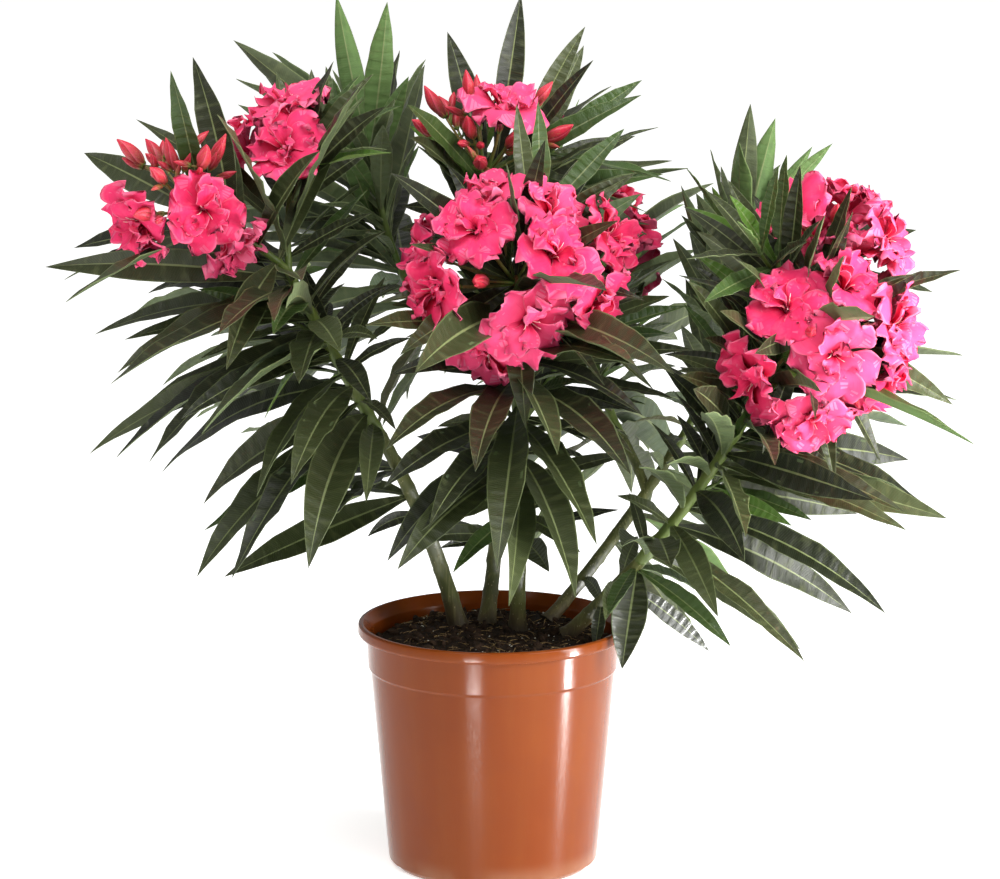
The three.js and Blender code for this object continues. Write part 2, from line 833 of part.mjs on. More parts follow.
function massGeometry(name, mass, index) {
  const heads = mass.heads ?? [];
  const blooms = heads.map((head, i) => bloomsOf(head, name, index * 10 + i));
  const buds = heads.map((head, i) => budsOf(head, name, index * 10 + i));
  const stalks = heads.flatMap((head, i) => stalksOf(head, blooms[i], buds[i]));
  const ribs = stalks.map((line) => line.getPoints(4).slice(2));
  const blades = mass.shoots.flatMap((shoot, i) =>
    leavesOf(shoot, name, blooms.flat(), ribs, index * 10 + i),
  );
  const solids = [
    ...mass.shoots.map(shootSolid),
    ...blades.map((blade) => solidOf(leafGeometry(blade))),
    ...heads.flatMap((head, i) => headSolids(head, blooms[i], buds[i])),
  ];
  const bodies = seated(joined(solids), mass.shoots[0]).decompose();
  return geometryOf(bodies.sort((a, b) => b.volume() - a.volume())[0]);
}

// ---- The whole plant -----------------------------------------------------------------------------

const plant = new THREE.Group();
plant.add(named("pot", potGeometry(), COLOURS.pot, 0.35));
plant.add(named("soil", soilGeometry(), COLOURS.soil, 0.95));
for (const [name, limb] of Object.entries(LIMBS)) {
  plant.add(named(name, limbGeometry(limb), COLOURS.limb, 0.7));
}
Object.entries(MASSES).forEach(([name, mass], index) => {
  plant.add(named(name, massGeometry(name, mass, index), COLOURS.leaves, 0.5));
});

export default plant;
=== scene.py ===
"""A potted oleander in bloom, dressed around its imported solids.

The plan of the plant and the rule by which it grows are in millimetres, as in the part's source. Meshes and
everything else in Blender are in metres. +Z is up and the front of the plant faces -Y.
"""

import math
from collections import namedtuple

import bmesh
import bpy
import numpy as np
from bpy.props import FloatProperty, FloatVectorProperty, IntProperty, PointerProperty
from mathutils import Matrix, Vector, noise


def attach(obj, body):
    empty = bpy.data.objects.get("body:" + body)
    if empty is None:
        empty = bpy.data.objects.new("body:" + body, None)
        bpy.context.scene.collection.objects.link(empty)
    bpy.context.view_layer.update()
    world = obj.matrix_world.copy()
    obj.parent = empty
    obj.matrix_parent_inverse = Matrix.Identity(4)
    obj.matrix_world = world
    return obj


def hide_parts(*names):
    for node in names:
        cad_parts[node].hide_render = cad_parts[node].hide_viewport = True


bl_info = {
    "name": "Potted oleander",
    "version": (1, 0, 0),
    "blender": (4, 5, 0),
    "location": "3D View > Sidebar > Oleander",
    "description": "Builds the looks of a potted oleander around its packed solids",
    "category": "Add Mesh",
}

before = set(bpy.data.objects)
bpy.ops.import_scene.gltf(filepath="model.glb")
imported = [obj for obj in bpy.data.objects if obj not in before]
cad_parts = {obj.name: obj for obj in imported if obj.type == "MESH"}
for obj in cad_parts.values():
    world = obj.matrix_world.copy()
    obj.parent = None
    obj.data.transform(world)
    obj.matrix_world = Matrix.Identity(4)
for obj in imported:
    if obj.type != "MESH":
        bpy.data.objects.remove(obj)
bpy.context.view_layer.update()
MM = 0.001


def rgb(code):
    """A colour written as six hex digits, as scene-linear red, green, blue and alpha."""
    parts = [int(code[i : i + 2], 16) / 255 for i in (0, 2, 4)]
    return (*[p / 12.92 if p <= 0.04045 else ((p + 0.055) / 1.055) ** 2.4 for p in parts], 1.0)


# ---- The plan, with the source's sizes in millimetres ----------------------------------------------

GAP = 0.3
POT = {
    "height": 192,
    "rim_radius": 105,
    "rim_depth": 9,
    "rim_edge": 2,
    "lip_wall": 4.2,
    "band_radius": 97,
    "band_depth": 27,
    "band_flare": 1.2,
    "band_step": 1,
    "body_top_radius": 95,
    "foot_radius": 81.5,
    "foot_chamfer": 4,
    "wall": 2.4,
    "floor": 3,
    "notches": 8,
    "notch_width": 16,
    "notch_depth": 7,
    "notch_height": 4,
}
BAND_TOP = POT["height"] - POT["rim_depth"]
BAND_FOOT = BAND_TOP - POT["band_depth"]
SHOULDER = BAND_FOOT - 2 * POT["band_step"]
SOIL = {"crown_height": 183, "crown_radius": 74, "edge_height": 175, "edge_spread": 0.8, "slack": 0.3}
GROUND = SOIL["crown_height"]

WHORL = 3
WHORL_TURN = 60
WHORL_CREEP = 9
WIDTH_SHARE = 0.17
LANCE_POWER = 0.95
MOST_FALL = 0.85
OUTWARD_GROWTH = 0.14
ROOT_FLARE = 0.3
FLARE_FADE = 14
SCATTER = {"bearing": 18, "open": 10, "length": 0.1, "sag": 0.35, "twist": 32}
UPPER_LEAN = {"axis": 0.35, "up": 0.55, "light": 0.6}
KNOT_RADIUS = 8
BUD = {"dome": (4, 60), "turn": 68, "reach": (0.95, 1.25), "seed": 800}
BLOOM = {
    "radius": 31,
    "lobes": 5,
    "notch_share": 0.8,
    "lobe_lift": 6,
    "notch_lift": 1,
    "depth": 10,
    "seat": 3,
    "dome": (10, 88),
    "reach": 0.95,
    "reach_scatter": 0.12,
    "size_scatter": 0.1,
    "nod": 0.3,
    "seed": 500,
}
CELL_GAP = 1.6
LIMB_CLEARANCE = 2.5
BUD_CLEARANCE = 30  # between a leaf of the finer growth and a bud
BLOOM_CLEARANCE = 26
EDGE_CLEARANCE = 1
POT_CLEARANCE = {"above": 3, "round": 4}
PROBES = np.array([0.14, 0.3, 0.45, 0.6, 0.75, 0.88, 1])
LENGTHS_TRIED = (1, 0.85, 0.7, 0.55, 0.42)
TURNS_TRIED = (0, 24, -24, 48, -48)
GOLDEN_ANGLE = 137.508

FRONT = (0, -1, 0)
BACK = (0, 1, 0)
DOWN = np.array([0.0, 0.0, -1.0])
UP = np.array([0.0, 0.0, 1.0])

LIMBS = {
    "stem_left": {
        "from": (-27, 21, GROUND), "bend": (-48, 14, 268), "to": (-88, -2, 342), "radii": (6.4, 4.8)
    },
    "stem_back_left": {
        "from": (-5, 28, GROUND), "bend": (10, 50, 280), "to": (-1, 72, 368), "radii": (5.9, 4.3)
    },
    "stem_centre": {
        "from": (19, 8, GROUND), "bend": (21, 2, 245), "to": (20, -9, 306), "radii": (6.1, 4.9)
    },
    "stem_back_right": {
        "from": (43, 34, GROUND), "bend": (76, 58, 216), "to": (117, 90, 268), "radii": (5.2, 4.3)
    },
    "stem_right": {
        "from": (58, -11, GROUND), "bend": (88, -24, 216), "to": (113, -30, 246), "radii": (6, 4.9)
    },
    "bough_top": {
        "on": "stem_back_left", "straight": 20, "to": (-8, 82, 408), "radii": (4.3, 3.8)
    },
    "bough_back_left": {
        "off": "bough_top", "share": 0.2, "bend": (-20, 84, 386), "to": (-42, 92, 404),
        "radii": (3.8, 3.5)
    },
    "bough_right_back": {
        "on": "stem_back_right", "straight": 20, "to": (146, 106, 308), "radii": (4.3, 3.7)
    },
    "bough_back": {
        "off": "bough_right_back", "share": 0.2, "bend": (118, 108, 288), "to": (102, 126, 314),
        "radii": (3.8, 3.6)
    },
}


def leafy(to, radii, whorls, long, open, sag, turn, outward=(0, 0, 0), **start):
    """One leafy shoot. What is left over says where it starts: on or off a limb, or from a point."""
    return {
        "to": to, "radii": radii, "whorls": whorls, "long": long, "open": open, "sag": sag, "turn": turn,
        "outward": outward, **start,
    }


def head(at, facing, radius, blooms, buds, turn):
    """One head of blooms and buds, dealt over a dome that faces away from its knot."""
    return {"at": at, "facing": facing, "radius": radius, "blooms": blooms, "buds": buds, "turn": turn}


LEFT_FORK = (-155, -25, 471)
LEFT_KNOT = (-226, -46, 522)
TOP_FORK = (-6, 76, 530)
CENTRE_FORK = (18, -48, 466)
RIGHT_FORK = (232, -54, 430)
BACK_FORK = (70, 164, 444)

MASSES = {
    "leaves_left": {
        "light": FRONT,
        "claim": 0,
        "shoots": [
            leafy(on="stem_left", straight=60, to=LEFT_FORK, radii=(4.8, 3.4), whorls=11, long=(174, 160),
                  open=(82, 62), sag=(36, 16), turn=200, outward=(-1, -0.2, 0)),
            leafy(**{"from": LEFT_FORK}, bend=(-180, -38, 498), to=LEFT_KNOT, radii=(3, 2.2), whorls=4,
                  long=(150, 132), open=(74, 44), sag=(12, 8), turn=150, outward=(-1, 0, 0)),
            leafy(**{"from": LEFT_FORK}, bend=(-158, -8, 515), to=(-150, 8, 556), radii=(3, 2), whorls=5,
                  long=(165, 100), open=(66, 20), sag=(16, 4), turn=20),
        ],
        "heads": [
            head(LEFT_KNOT, (-0.1, -0.9, -0.3), 46, 3, 0, 40),
            head(LEFT_KNOT, (-0.5, -0.3, 0.8), 62, 0, 9, 292),
            head((-156, 7, 550), (-0.5, 0, 0.8), 46, 4, 0, 10),
        ],
    },
    "leaves_back_left": {
        "light": BACK,
        "claim": 8,
        "shoots": [
            leafy(on="bough_back_left", straight=50, to=(-98, 100, 550), radii=(3.6, 2), whorls=10,
                  long=(175, 130), open=(86, 24), sag=(36, 4), turn=80, outward=(-0.6, 0.6, 0)),
        ],
        "heads": [],
    },
    "leaves_middle": {
        "light": FRONT,
        "claim": 12,
        "shoots": [
            leafy(off="stem_back_left", share=0.72, bend=(38, 50, 350), to=(66, 44, 418), radii=(3.4, 2.2),
                  whorls=8, long=(145, 120), open=(84, 30), sag=(20, 6), turn=60),
        ],
        "heads": [],
    },
    "leaves_top": {
        "light": FRONT,
        "claim": 30,
        "shoots": [
            leafy(on="bough_top", straight=50, to=TOP_FORK, radii=(3.8, 2.6), whorls=8, long=(168, 140),
                  open=(84, 44), sag=(34, 6), turn=15, outward=(0.8, 0.2, 0)),
            leafy(**{"from": TOP_FORK}, bend=(12, 84, 544), to=(48, 88, 548), radii=(2.4, 1.8), whorls=3,
                  long=(140, 100), open=(60, 34), sag=(6, 0), turn=100),
        ],
        "heads": [
            head(TOP_FORK, (0.05, -0.25, 1), 76, 0, 12, 122),
            head(TOP_FORK, (-0.3, -0.4, 0.9), 76, 4, 0, 0),
        ],
    },
    "leaves_centre": {
        "light": FRONT,
        "claim": 28,
        "shoots": [
            leafy(on="stem_centre", straight=70, to=CENTRE_FORK, radii=(4.9, 3.2), whorls=11, long=(150, 185),
                  open=(84, 64), sag=(30, 18), turn=90, outward=(0, -1, 0)),
            leafy(**{"from": CENTRE_FORK}, bend=(30, -46, 494), to=(40, -40, 524), radii=(2.4, 1.8), whorls=3,
                  long=(120, 95), open=(44, 24), sag=(4, 0), turn=0),
        ],
        "heads": [head(CENTRE_FORK, (0.03, -0.85, 0.4), 78, 10, 7, 0)],
    },
    "leaves_right": {
        "light": FRONT,
        "claim": 0,
        "shoots": [
            leafy(on="stem_right", straight=85, to=RIGHT_FORK, radii=(4.9, 3.2), whorls=12, long=(150, 152),
                  open=(74, 62), sag=(16, 14), turn=10, outward=(1, -0.2, 0)),
            leafy(**{"from": RIGHT_FORK}, bend=(246, -40, 464), to=(264, -14, 494), radii=(2.8, 1.9),
                  whorls=4, long=(120, 90), open=(62, 24), sag=(12, 4), turn=90, outward=(1, 0, 0)),
            leafy(**{"from": RIGHT_FORK}, bend=(222, -58, 462), to=(212, -60, 488), radii=(2.6, 1.9),
                  whorls=3, long=(120, 90), open=(44, 22), sag=(6, 2), turn=0),
        ],
        "heads": [
            head((236, -56, 426), (0.9, -0.85, -0.05), 76, 10, 5, 30),
            head((258, -20, 484), (0.1, 0, 1), 50, 4, 3, 60),
        ],
    },
    "leaves_right_back": {
        "light": BACK,
        "claim": 0,
        "shoots": [
            leafy(on="bough_right_back", straight=60, to=(194, 104, 466), radii=(3.7, 2), whorls=11,
                  long=(170, 120), open=(86, 22), sag=(32, 4), turn=30, outward=(0.5, 0.5, 0)),
        ],
        "heads": [],
    },
    "leaves_back": {
        "light": BACK,
        "claim": 0,
        "shoots": [
            leafy(on="bough_back", straight=50, to=BACK_FORK, radii=(3.7, 2.6), whorls=8, long=(170, 150),
                  open=(86, 50), sag=(32, 12), turn=70, outward=(0, 1, 0)),
            leafy(**{"from": BACK_FORK}, bend=(62, 160, 478), to=(52, 152, 508), radii=(2.4, 1.8), whorls=4,
                  long=(140, 95), open=(48, 24), sag=(4, 0), turn=20),
        ],
        "heads": [head(BACK_FORK, (-0.1, 0.8, 0.5), 60, 8, 4, 0)],
    },
}


# ---- Vectors, curves and dice ----------------------------------------------------------------------


def vec(p):
    return np.array(p, float)


def unit(a):
    return a / math.sqrt(a @ a)


def cross(a, b):
    return np.array([a[1] * b[2] - a[2] * b[1], a[2] * b[0] - a[0] * b[2], a[0] * b[1] - a[1] * b[0]])


def square_to(a, b):
    """The part of a that is square to the unit vector b, as a unit vector."""
    return unit(a - (a @ b) * b)


def swung(a, axis, degrees):
    """A vector turned about a unit axis."""
    angle = math.radians(degrees)
    along = (axis @ a) * axis
    return along + (a - along) * math.cos(angle) + cross(axis, a) * math.sin(angle)


def axes_about(axis, towards=(1, 0, 0)):
    """Two unit vectors square to an axis and to each other, the first as near as can be to a given way."""
    across = square_to(vec(towards), axis)
    return across, cross(axis, across)


def between(first, second, angle):
    """The unit vector at an angle in radians from one unit vector towards another that is square to it."""
    return first * math.cos(angle) + second * math.sin(angle)


def apart(points, spots, distance):
    """True if every point lies at least a distance from every spot."""
    return all(np.linalg.norm(points - spot, axis=1).min() >= distance for spot in spots)


def mix(low, high, share):
    return (1 - share) * low + share * high


def smooth(low, high, x):
    """0 up to a low value, 1 from a high one, and an even step between."""
    share = np.clip((x - low) / (high - low), 0, 1)
    return share * share * (3 - 2 * share)


class Curve:
    """A line that bends once, with its tangent measured over a short step either side of a point."""

    STEP = 1e-4

    def __init__(self, start, middle, end):
        self.start, self.middle, self.end = start, middle, end

    def at(self, t):
        t = np.asarray(t, float)[..., None]
        return (1 - t) ** 2 * self.start + 2 * (1 - t) * t * self.middle + t**2 * self.end

    def along(self, t):
        t = np.asarray(t, float)
        step = self.at(np.minimum(t + self.STEP, 1)) - self.at(np.maximum(t - self.STEP, 0))
        return step / np.linalg.norm(step, axis=-1, keepdims=True)

    def length(self):
        return float(np.linalg.norm(np.diff(self.at(np.linspace(0, 1, 9)), axis=0), axis=1).sum())


def dice(seed):
    """A repeatable stream of numbers from 0 to 1."""
    state = (seed * 7919 + 12345) % 2**32

    def roll():
        nonlocal state
        state = (state * 1664525 + 1013904223) % 2**32
        return state / 2**32

    for _ in range(4):
        roll()
    return roll


def spread(roll, size):
    """A number to either side of 0."""
    return (roll() * 2 - 1) * size


def dealt(roll, least, more):
    """A number from the least one up."""
    return least + more * roll()


# Where the dice for each kind of finer detail start.
SEEDS = {
    "infill": 300,
    "collar": 600,
    "twig": 700,
    "leaf": 910000,
    "petals": 930000,
    "stalk": 950000,
    "bud": 970000,
}


# ---- The rule of growth, as in the source ----------------------------------------------------------


def bent(shape, lift=0):
    """The curve of a limb or shoot. One that grows on from a limb leaves its tip in the limb's direction."""
    to = vec(shape["to"])
    if "on" in shape:
        parent = bent(LIMBS[shape["on"]])
        along = parent.along(1)
        start = parent.at(1) + along * lift
        return Curve(start, start + along * shape["straight"], to)
    start = bent(LIMBS[shape["off"]]).at(shape["share"]) if "off" in shape else vec(shape["from"])
    return Curve(start, vec(shape["bend"]), to)


class Lines:
    """Many short straight lines, to measure how far points lie from each."""

    def __init__(self, shapes):
        ends = np.array([bent(shape).at(np.linspace(0, 1, 4)) for shape in shapes])
        self.start = ends[:, :-1].reshape(-1, 3)
        self.reach = (ends[:, 1:] - ends[:, :-1]).reshape(-1, 3)
        self.square = (self.reach**2).sum(axis=1)

    def distances(self, points):
        offset = points[:, None] - self.start
        share = np.clip((offset * self.reach).sum(axis=2) / self.square, 0, 1)
        return np.linalg.norm(offset - share[..., None] * self.reach, axis=2)


PIECES = 3
SHOOT_OWNERS = np.repeat([i for i, mass in enumerate(MASSES.values()) for _ in mass["shoots"]], PIECES)
SHOOT_CLAIMS = np.repeat([mass["claim"] for mass in MASSES.values() for _ in mass["shoots"]], PIECES)
SHOOT_LINES = Lines([shoot for mass in MASSES.values() for shoot in mass["shoots"]])
LIMB_ROOM = np.repeat([limb["radii"][0] + LIMB_CLEARANCE for limb in LIMBS.values()], PIECES)
LIMB_LINES = Lines(LIMBS.values())


def in_space(points, index):
    """True if all points are in a mass's own space, clear of every limb and of the pot."""
    distances = SHOOT_LINES.distances(points) - SHOOT_CLAIMS
    own = distances[:, SHOOT_OWNERS == index].min(axis=1)
    other = distances[:, SHOOT_OWNERS != index].min(axis=1)
    if (own + CELL_GAP > other).any() or (LIMB_LINES.distances(points) < LIMB_ROOM).any():
        return False
    high = points[:, 2] > POT["height"] + POT_CLEARANCE["above"]
    outside = np.hypot(points[:, 0], points[:, 1]) > POT["rim_radius"] + POT_CLEARANCE["round"]
    return bool((high | outside).all())


class Blade:
    """A leaf's midrib, the way across it at its root, and its half width along its length."""

    def __init__(self, root, direction, upper, length, sag, twist):
        hinge = unit(cross(direction, DOWN))
        fall = min(sag, math.acos(max(-1, min(1, direction @ DOWN))) * MOST_FALL)
        ending = swung(direction, hinge, math.degrees(fall))
        side = unit(cross(square_to(upper, direction), direction))
        middle = root + direction * length / 2
        self.line = Curve(root, middle, middle + ending * length / 2)
        self.side = swung(side, direction, twist)
        self.length = length

    def half_width(self, s):
        lance = np.maximum(np.sin(np.pi * np.asarray(s)), 1e-9) ** LANCE_POWER
        return self.length * WIDTH_SHARE * lance / 2

    def frame(self, s):
        """Points on the midrib with the directions along, across and up out of the blade there."""
        along = self.line.along(s)
        across = self.side - (along @ self.side)[:, None] * along
        across /= np.linalg.norm(across, axis=1, keepdims=True)
        return self.line.at(s), along, across, np.cross(along, across)

    def rib(self):
        return self.line.at(PROBES[2:])

    def hides(self, buds):
        """True if the outer half of the blade comes close to a bud."""
        return not apart(self.rib(), buds, BUD_CLEARANCE)

    def fits(self, index, blooms, ribs, clearance):
        taken = np.concatenate(ribs) if ribs else np.empty((0, 3))
        if (np.linalg.norm(self.rib()[:, None] - taken, axis=2) < clearance).any():
            return False
        centres, _, across, _ = self.frame(PROBES)
        if not apart(centres, middles(blooms), BLOOM_CLEARANCE):
            return False
        half = (self.half_width(PROBES) + EDGE_CLEARANCE)[:, None] * across
        return in_space(np.concatenate([centres - half, centres, centres + half]), index)


# How a pass over a shoot sets its leaves. The source's own pass comes first, and a later one fills between,
# from where the shoot is no longer bare.
Habit = namedtuple("Habit", "share turn length open clearance seed bare")
OWN_HABIT = Habit(0.6, 0, 1, 0, 13, 0, 0)
FILLING_HABIT = Habit(0.1, 30, 0.9, 3, 13, SEEDS["infill"], 0.5)
TWIG_HABIT = Habit(0.1, 0, 1, 0, 9, SEEDS["infill"], 0)
LIMB_HABIT = Habit(0.6, 0, 1, 0, 9, SEEDS["infill"], 0.55)

Leaf = namedtuple("Leaf", "blade share young broad", defaults=(1.0,))


def leaves_of(shoot, index, blooms, ribs, seed, habit, buds=(), young=False):
    """Every leaf of a shoot that fits. One that doesn't is turned, then shortened, then skipped."""
    line = bent(shoot)
    outward = vec(shoot["outward"])
    light = vec(list(MASSES.values())[index]["light"])
    leaves = []
    for i in range(shoot["whorls"]):
        share = (i + habit.share) / shoot["whorls"]
        if share < habit.bare:
            continue
        root, axis = line.at(share), line.along(share)
        across, other = axes_about(axis)
        upper = axis * UPPER_LEAN["axis"] + UP * UPPER_LEAN["up"] + light * UPPER_LEAN["light"]
        first = shoot["turn"] + (i % 2) * WHORL_TURN + i * WHORL_CREEP + habit.turn
        for k in range(WHORL):
            roll = dice(seed * 1000 + habit.seed + i * WHORL + k)
            bearing = first + k * 360 / WHORL + spread(roll, SCATTER["bearing"])
            open_angle = math.radians(mix(*shoot["open"], share) + habit.open + spread(roll, SCATTER["open"]))
            grown = habit.length * mix(*shoot["long"], share) * (1 + spread(roll, SCATTER["length"]))
            sag = math.radians(mix(*shoot["sag"], share) * (1 + spread(roll, SCATTER["sag"])))
            twist = spread(roll, SCATTER["twist"])
            for shortened, turned in ((s, t) for s in LENGTHS_TRIED for t in TURNS_TRIED):
                radial = between(across, other, math.radians(bearing + turned))
                direction = between(axis, radial, open_angle)
                length = grown * shortened * (1 + OUTWARD_GROWTH * (radial @ outward))
                blade = Blade(root, direction, upper, length, sag, twist)
                if blade.fits(index, blooms, ribs, habit.clearance) and not blade.hides(buds):
                    leaves.append(Leaf(blade, share, young))
                    ribs.append(blade.rib())
                    break
    return leaves


Bloom = namedtuple("Bloom", "centre facing radius turn")
BLOOM_ACROSS = (0.2, 1, 0.4)  # the way from which a bloom's bearings are counted


def middles(blooms):
    return [bloom.centre for bloom in blooms]


def dome_of(plan, count, angles, turn=0):
    """Directions spread over a dome round a head, between two angles from the way it faces."""
    facing = unit(vec(plan["facing"]))
    across, other = axes_about(facing, (1, 0, 0.1))
    low, high = (math.cos(math.radians(angle)) for angle in angles)
    for i in range(count):
        tilt = math.acos(mix(low, high, (i + 0.5) / count))
        bearing = math.radians(plan["turn"] + turn + i * GOLDEN_ANGLE)
        yield between(facing, between(across, other, bearing), tilt)


def rim_of(bloom):
    """The lobes of a bloom and the notches between them."""
    across, other = axes_about(bloom.facing, BLOOM_ACROSS)
    bearing = np.radians(bloom.turn + np.arange(2 * BLOOM["lobes"]) * 180 / BLOOM["lobes"])[:, None]
    odd = (np.arange(2 * BLOOM["lobes"]) % 2)[:, None]
    reach = bloom.radius * mix(1, BLOOM["notch_share"], odd)
    lift = mix(BLOOM["lobe_lift"], BLOOM["notch_lift"], odd)
    return bloom.centre + reach * (np.cos(bearing) * across + np.sin(bearing) * other) + lift * bloom.facing


def blooms_of(plan, index, seed):
    blooms = []
    for i, way in enumerate(dome_of(plan, plan["blooms"], BLOOM["dome"])):
        roll = dice(seed * 1000 + BLOOM["seed"] + i)
        reach = plan["radius"] * (BLOOM["reach"] + spread(roll, BLOOM["reach_scatter"]))
        centre = vec(plan["at"]) + way * reach
        nod = vec([spread(roll, BLOOM["nod"]) for _ in range(3)])
        facing = unit(way + nod)
        radius = BLOOM["radius"] * (1 + spread(roll, BLOOM["size_scatter"]))
        bloom = Bloom(centre, facing, radius, roll() * 360 / BLOOM["lobes"])
        if in_space(np.vstack([centre, rim_of(bloom)]), index):
            blooms.append(bloom)
    return blooms


def buds_of(plan, index, seed):
    """The tips of a head's buds."""
    tips = []
    for i, way in enumerate(dome_of(plan, plan["buds"], BUD["dome"], BUD["turn"])):
        roll = dice(seed * 1000 + BUD["seed"] + i)
        tip = vec(plan["at"]) + way * plan["radius"] * mix(*BUD["reach"], roll())
        if in_space(tip[None], index):
            tips.append(tip)
    return tips


def throat(bloom):
    """The foot of a bloom, where its tube begins."""
    return bloom.centre + bloom.facing * (BLOOM["seat"] - BLOOM["depth"])


# Fine side twigs, which the solids leave out: they carry small young leaves within the same space.
TWIG = {
    "every": 42,
    "first": 0.3,
    "open": 44,
    "open_scatter": 10,
    "length": (46, 62),
    "rise": 0.6,
    "clear": 1.6 * BLOOM_CLEARANCE,
    "radii": (1.8, 1.1),
    "whorls": 3,
    "long": (92, 62),
    "leaves_open": (58, 24),
    "sag": (12, 2),
}


def side_twigs(shoot, index, blooms, buds, seed):
    line = bent(shoot)
    count = int(line.length() / TWIG["every"])
    twigs = []
    for j in range(count):
        roll = dice(seed * 1000 + SEEDS["twig"] + j)
        share = mix(TWIG["first"], 1, (j + 0.5) / count)
        axis = line.along(share)
        radial = between(*axes_about(axis), math.radians(j * GOLDEN_ANGLE + 360 * roll()))
        direction = between(axis, radial, math.radians(TWIG["open"] + spread(roll, TWIG["open_scatter"])))
        length = mix(*TWIG["length"], roll())
        bend = line.at(share) + direction * length / 2
        to = bend + unit(direction + TWIG["rise"] * UP) * length / 2
        if apart(to[None], middles(blooms) + buds, TWIG["clear"]) and in_space(np.array([bend, to]), index):
            plan = {"from": tuple(line.at(share)), "bend": tuple(bend)}
            twigs.append(leafy(to=tuple(to), radii=TWIG["radii"], whorls=TWIG["whorls"], long=TWIG["long"],
                               open=TWIG["leaves_open"], sag=TWIG["sag"], turn=360 * roll(), **plan))
    return twigs


# Leaves on the upper part of a limb: the mass whose space they keep to, how many whorls the whole limb would
# have, how long they are at its foot and tip, and the bearing of the first.
LIMB_LEAVES = {
    "stem_left": ("leaves_left", 7, (110, 165), 40),
    "stem_back_left": ("leaves_middle", 7, (90, 140), 10),
    "stem_centre": ("leaves_centre", 6, (70, 120), 70),
    "stem_back_right": ("leaves_right_back", 5, (90, 140), 20),
    "stem_right": ("leaves_right", 5, (70, 110), 50),
    "bough_top": ("leaves_top", 4, (130, 150), 30),
    "bough_back_left": ("leaves_back_left", 3, (130, 150), 0),
    "bough_right_back": ("leaves_right_back", 4, (120, 150), 80),
    "bough_back": ("leaves_back", 3, (120, 150), 10),
}


LIMB_LEAF_HABIT = {"open": (76, 80), "sag": (8, 16), "outward": (0, 0, 0)}
LIMB_SEED = 200


def limb_leaves(index, blooms, ribs, buds):
    leaves = []
    for number, (limb, (mass, whorls, long, turn)) in enumerate(LIMB_LEAVES.items()):
        if mass == list(MASSES)[index]:
            plan = {**LIMBS[limb], **LIMB_LEAF_HABIT, "whorls": whorls, "long": long, "turn": turn}
            leaves += leaves_of(plan, index, blooms, ribs, index * 10 + LIMB_SEED + number, LIMB_HABIT, buds)
    return leaves


# The few small leaves low on the stems: on which, at what share of it, which way, how long, how limp, how
# broad.
STRAYS = (
    ("stem_right", 0.97, (-0.16, -0.5, -0.85), 80, 8, 1.9),
    ("stem_right", 0.45, (-0.1, -0.75, -0.5), 42, 30, 1.7),
    ("stem_centre", 0.62, (-0.95, -0.3, 0.1), 66, 14, 1),
    ("stem_left", 0.55, (-0.7, -0.6, 0.2), 58, 40, 1),
    ("stem_left", 0.5, (0.85, -0.5, 0.2), 70, 30, 0.9),
    ("stem_back_right", 0.4, (0.3, -0.9, 0.2), 60, 40, 1),
)
STRAY_MASS = "leaves_centre"  # the mass whose piece holds them


def stray_leaves():
    for name, share, way, length, sag, broad in STRAYS:
        root = bent(LIMBS[name]).at(share)
        blade = Blade(root, unit(vec(way)), vec(FRONT) + 0.5 * UP, length, math.radians(sag), 0)
        yield Leaf(blade, 0.5, False, broad)


Growth = namedtuple("Growth", "leaves shoots twigs heads")
Head = namedtuple("Head", "at blooms buds")

# Leaves that stand out between the blooms of a head with no fewer than so many of them.
COLLAR = {
    "fewest": 7,
    "count": 12,
    "dome": (40, 88),
    "turn": 24,
    "length": 1.4,
    "grown": (0.9, 0.3),
    "sag": 10,
    "twist": 30,
    "lift": 0.3,
    "off_blooms": 17,
    "off_buds": 14,
}
COLLAR_PROBES = np.array([0.5, 0.65, 0.8, 0.9, 1])


def collar_leaves(plan, part, index, seed):
    leaves = []
    if len(part.blooms) < COLLAR["fewest"]:
        return leaves
    facing = unit(vec(plan["facing"]))
    for i, way in enumerate(dome_of(plan, COLLAR["count"], COLLAR["dome"], COLLAR["turn"])):
        roll = dice(seed * 1000 + SEEDS["collar"] + i)
        for turned in TURNS_TRIED:
            direction = swung(way, facing, turned / 2)
            length = plan["radius"] * COLLAR["length"] * dealt(roll, *COLLAR["grown"])
            twist = spread(roll, COLLAR["twist"])
            sag = math.radians(COLLAR["sag"])
            blade = Blade(part.at, direction, facing + COLLAR["lift"] * UP, length, sag, twist)
            outer = blade.line.at(COLLAR_PROBES)
            off_blooms = apart(outer, middles(part.blooms), COLLAR["off_blooms"])
            if off_blooms and apart(outer, part.buds, COLLAR["off_buds"]) and in_space(outer, index):
                leaves.append(Leaf(blade, 0.5, False))
                break
    return leaves


TWIG_SEED = 100


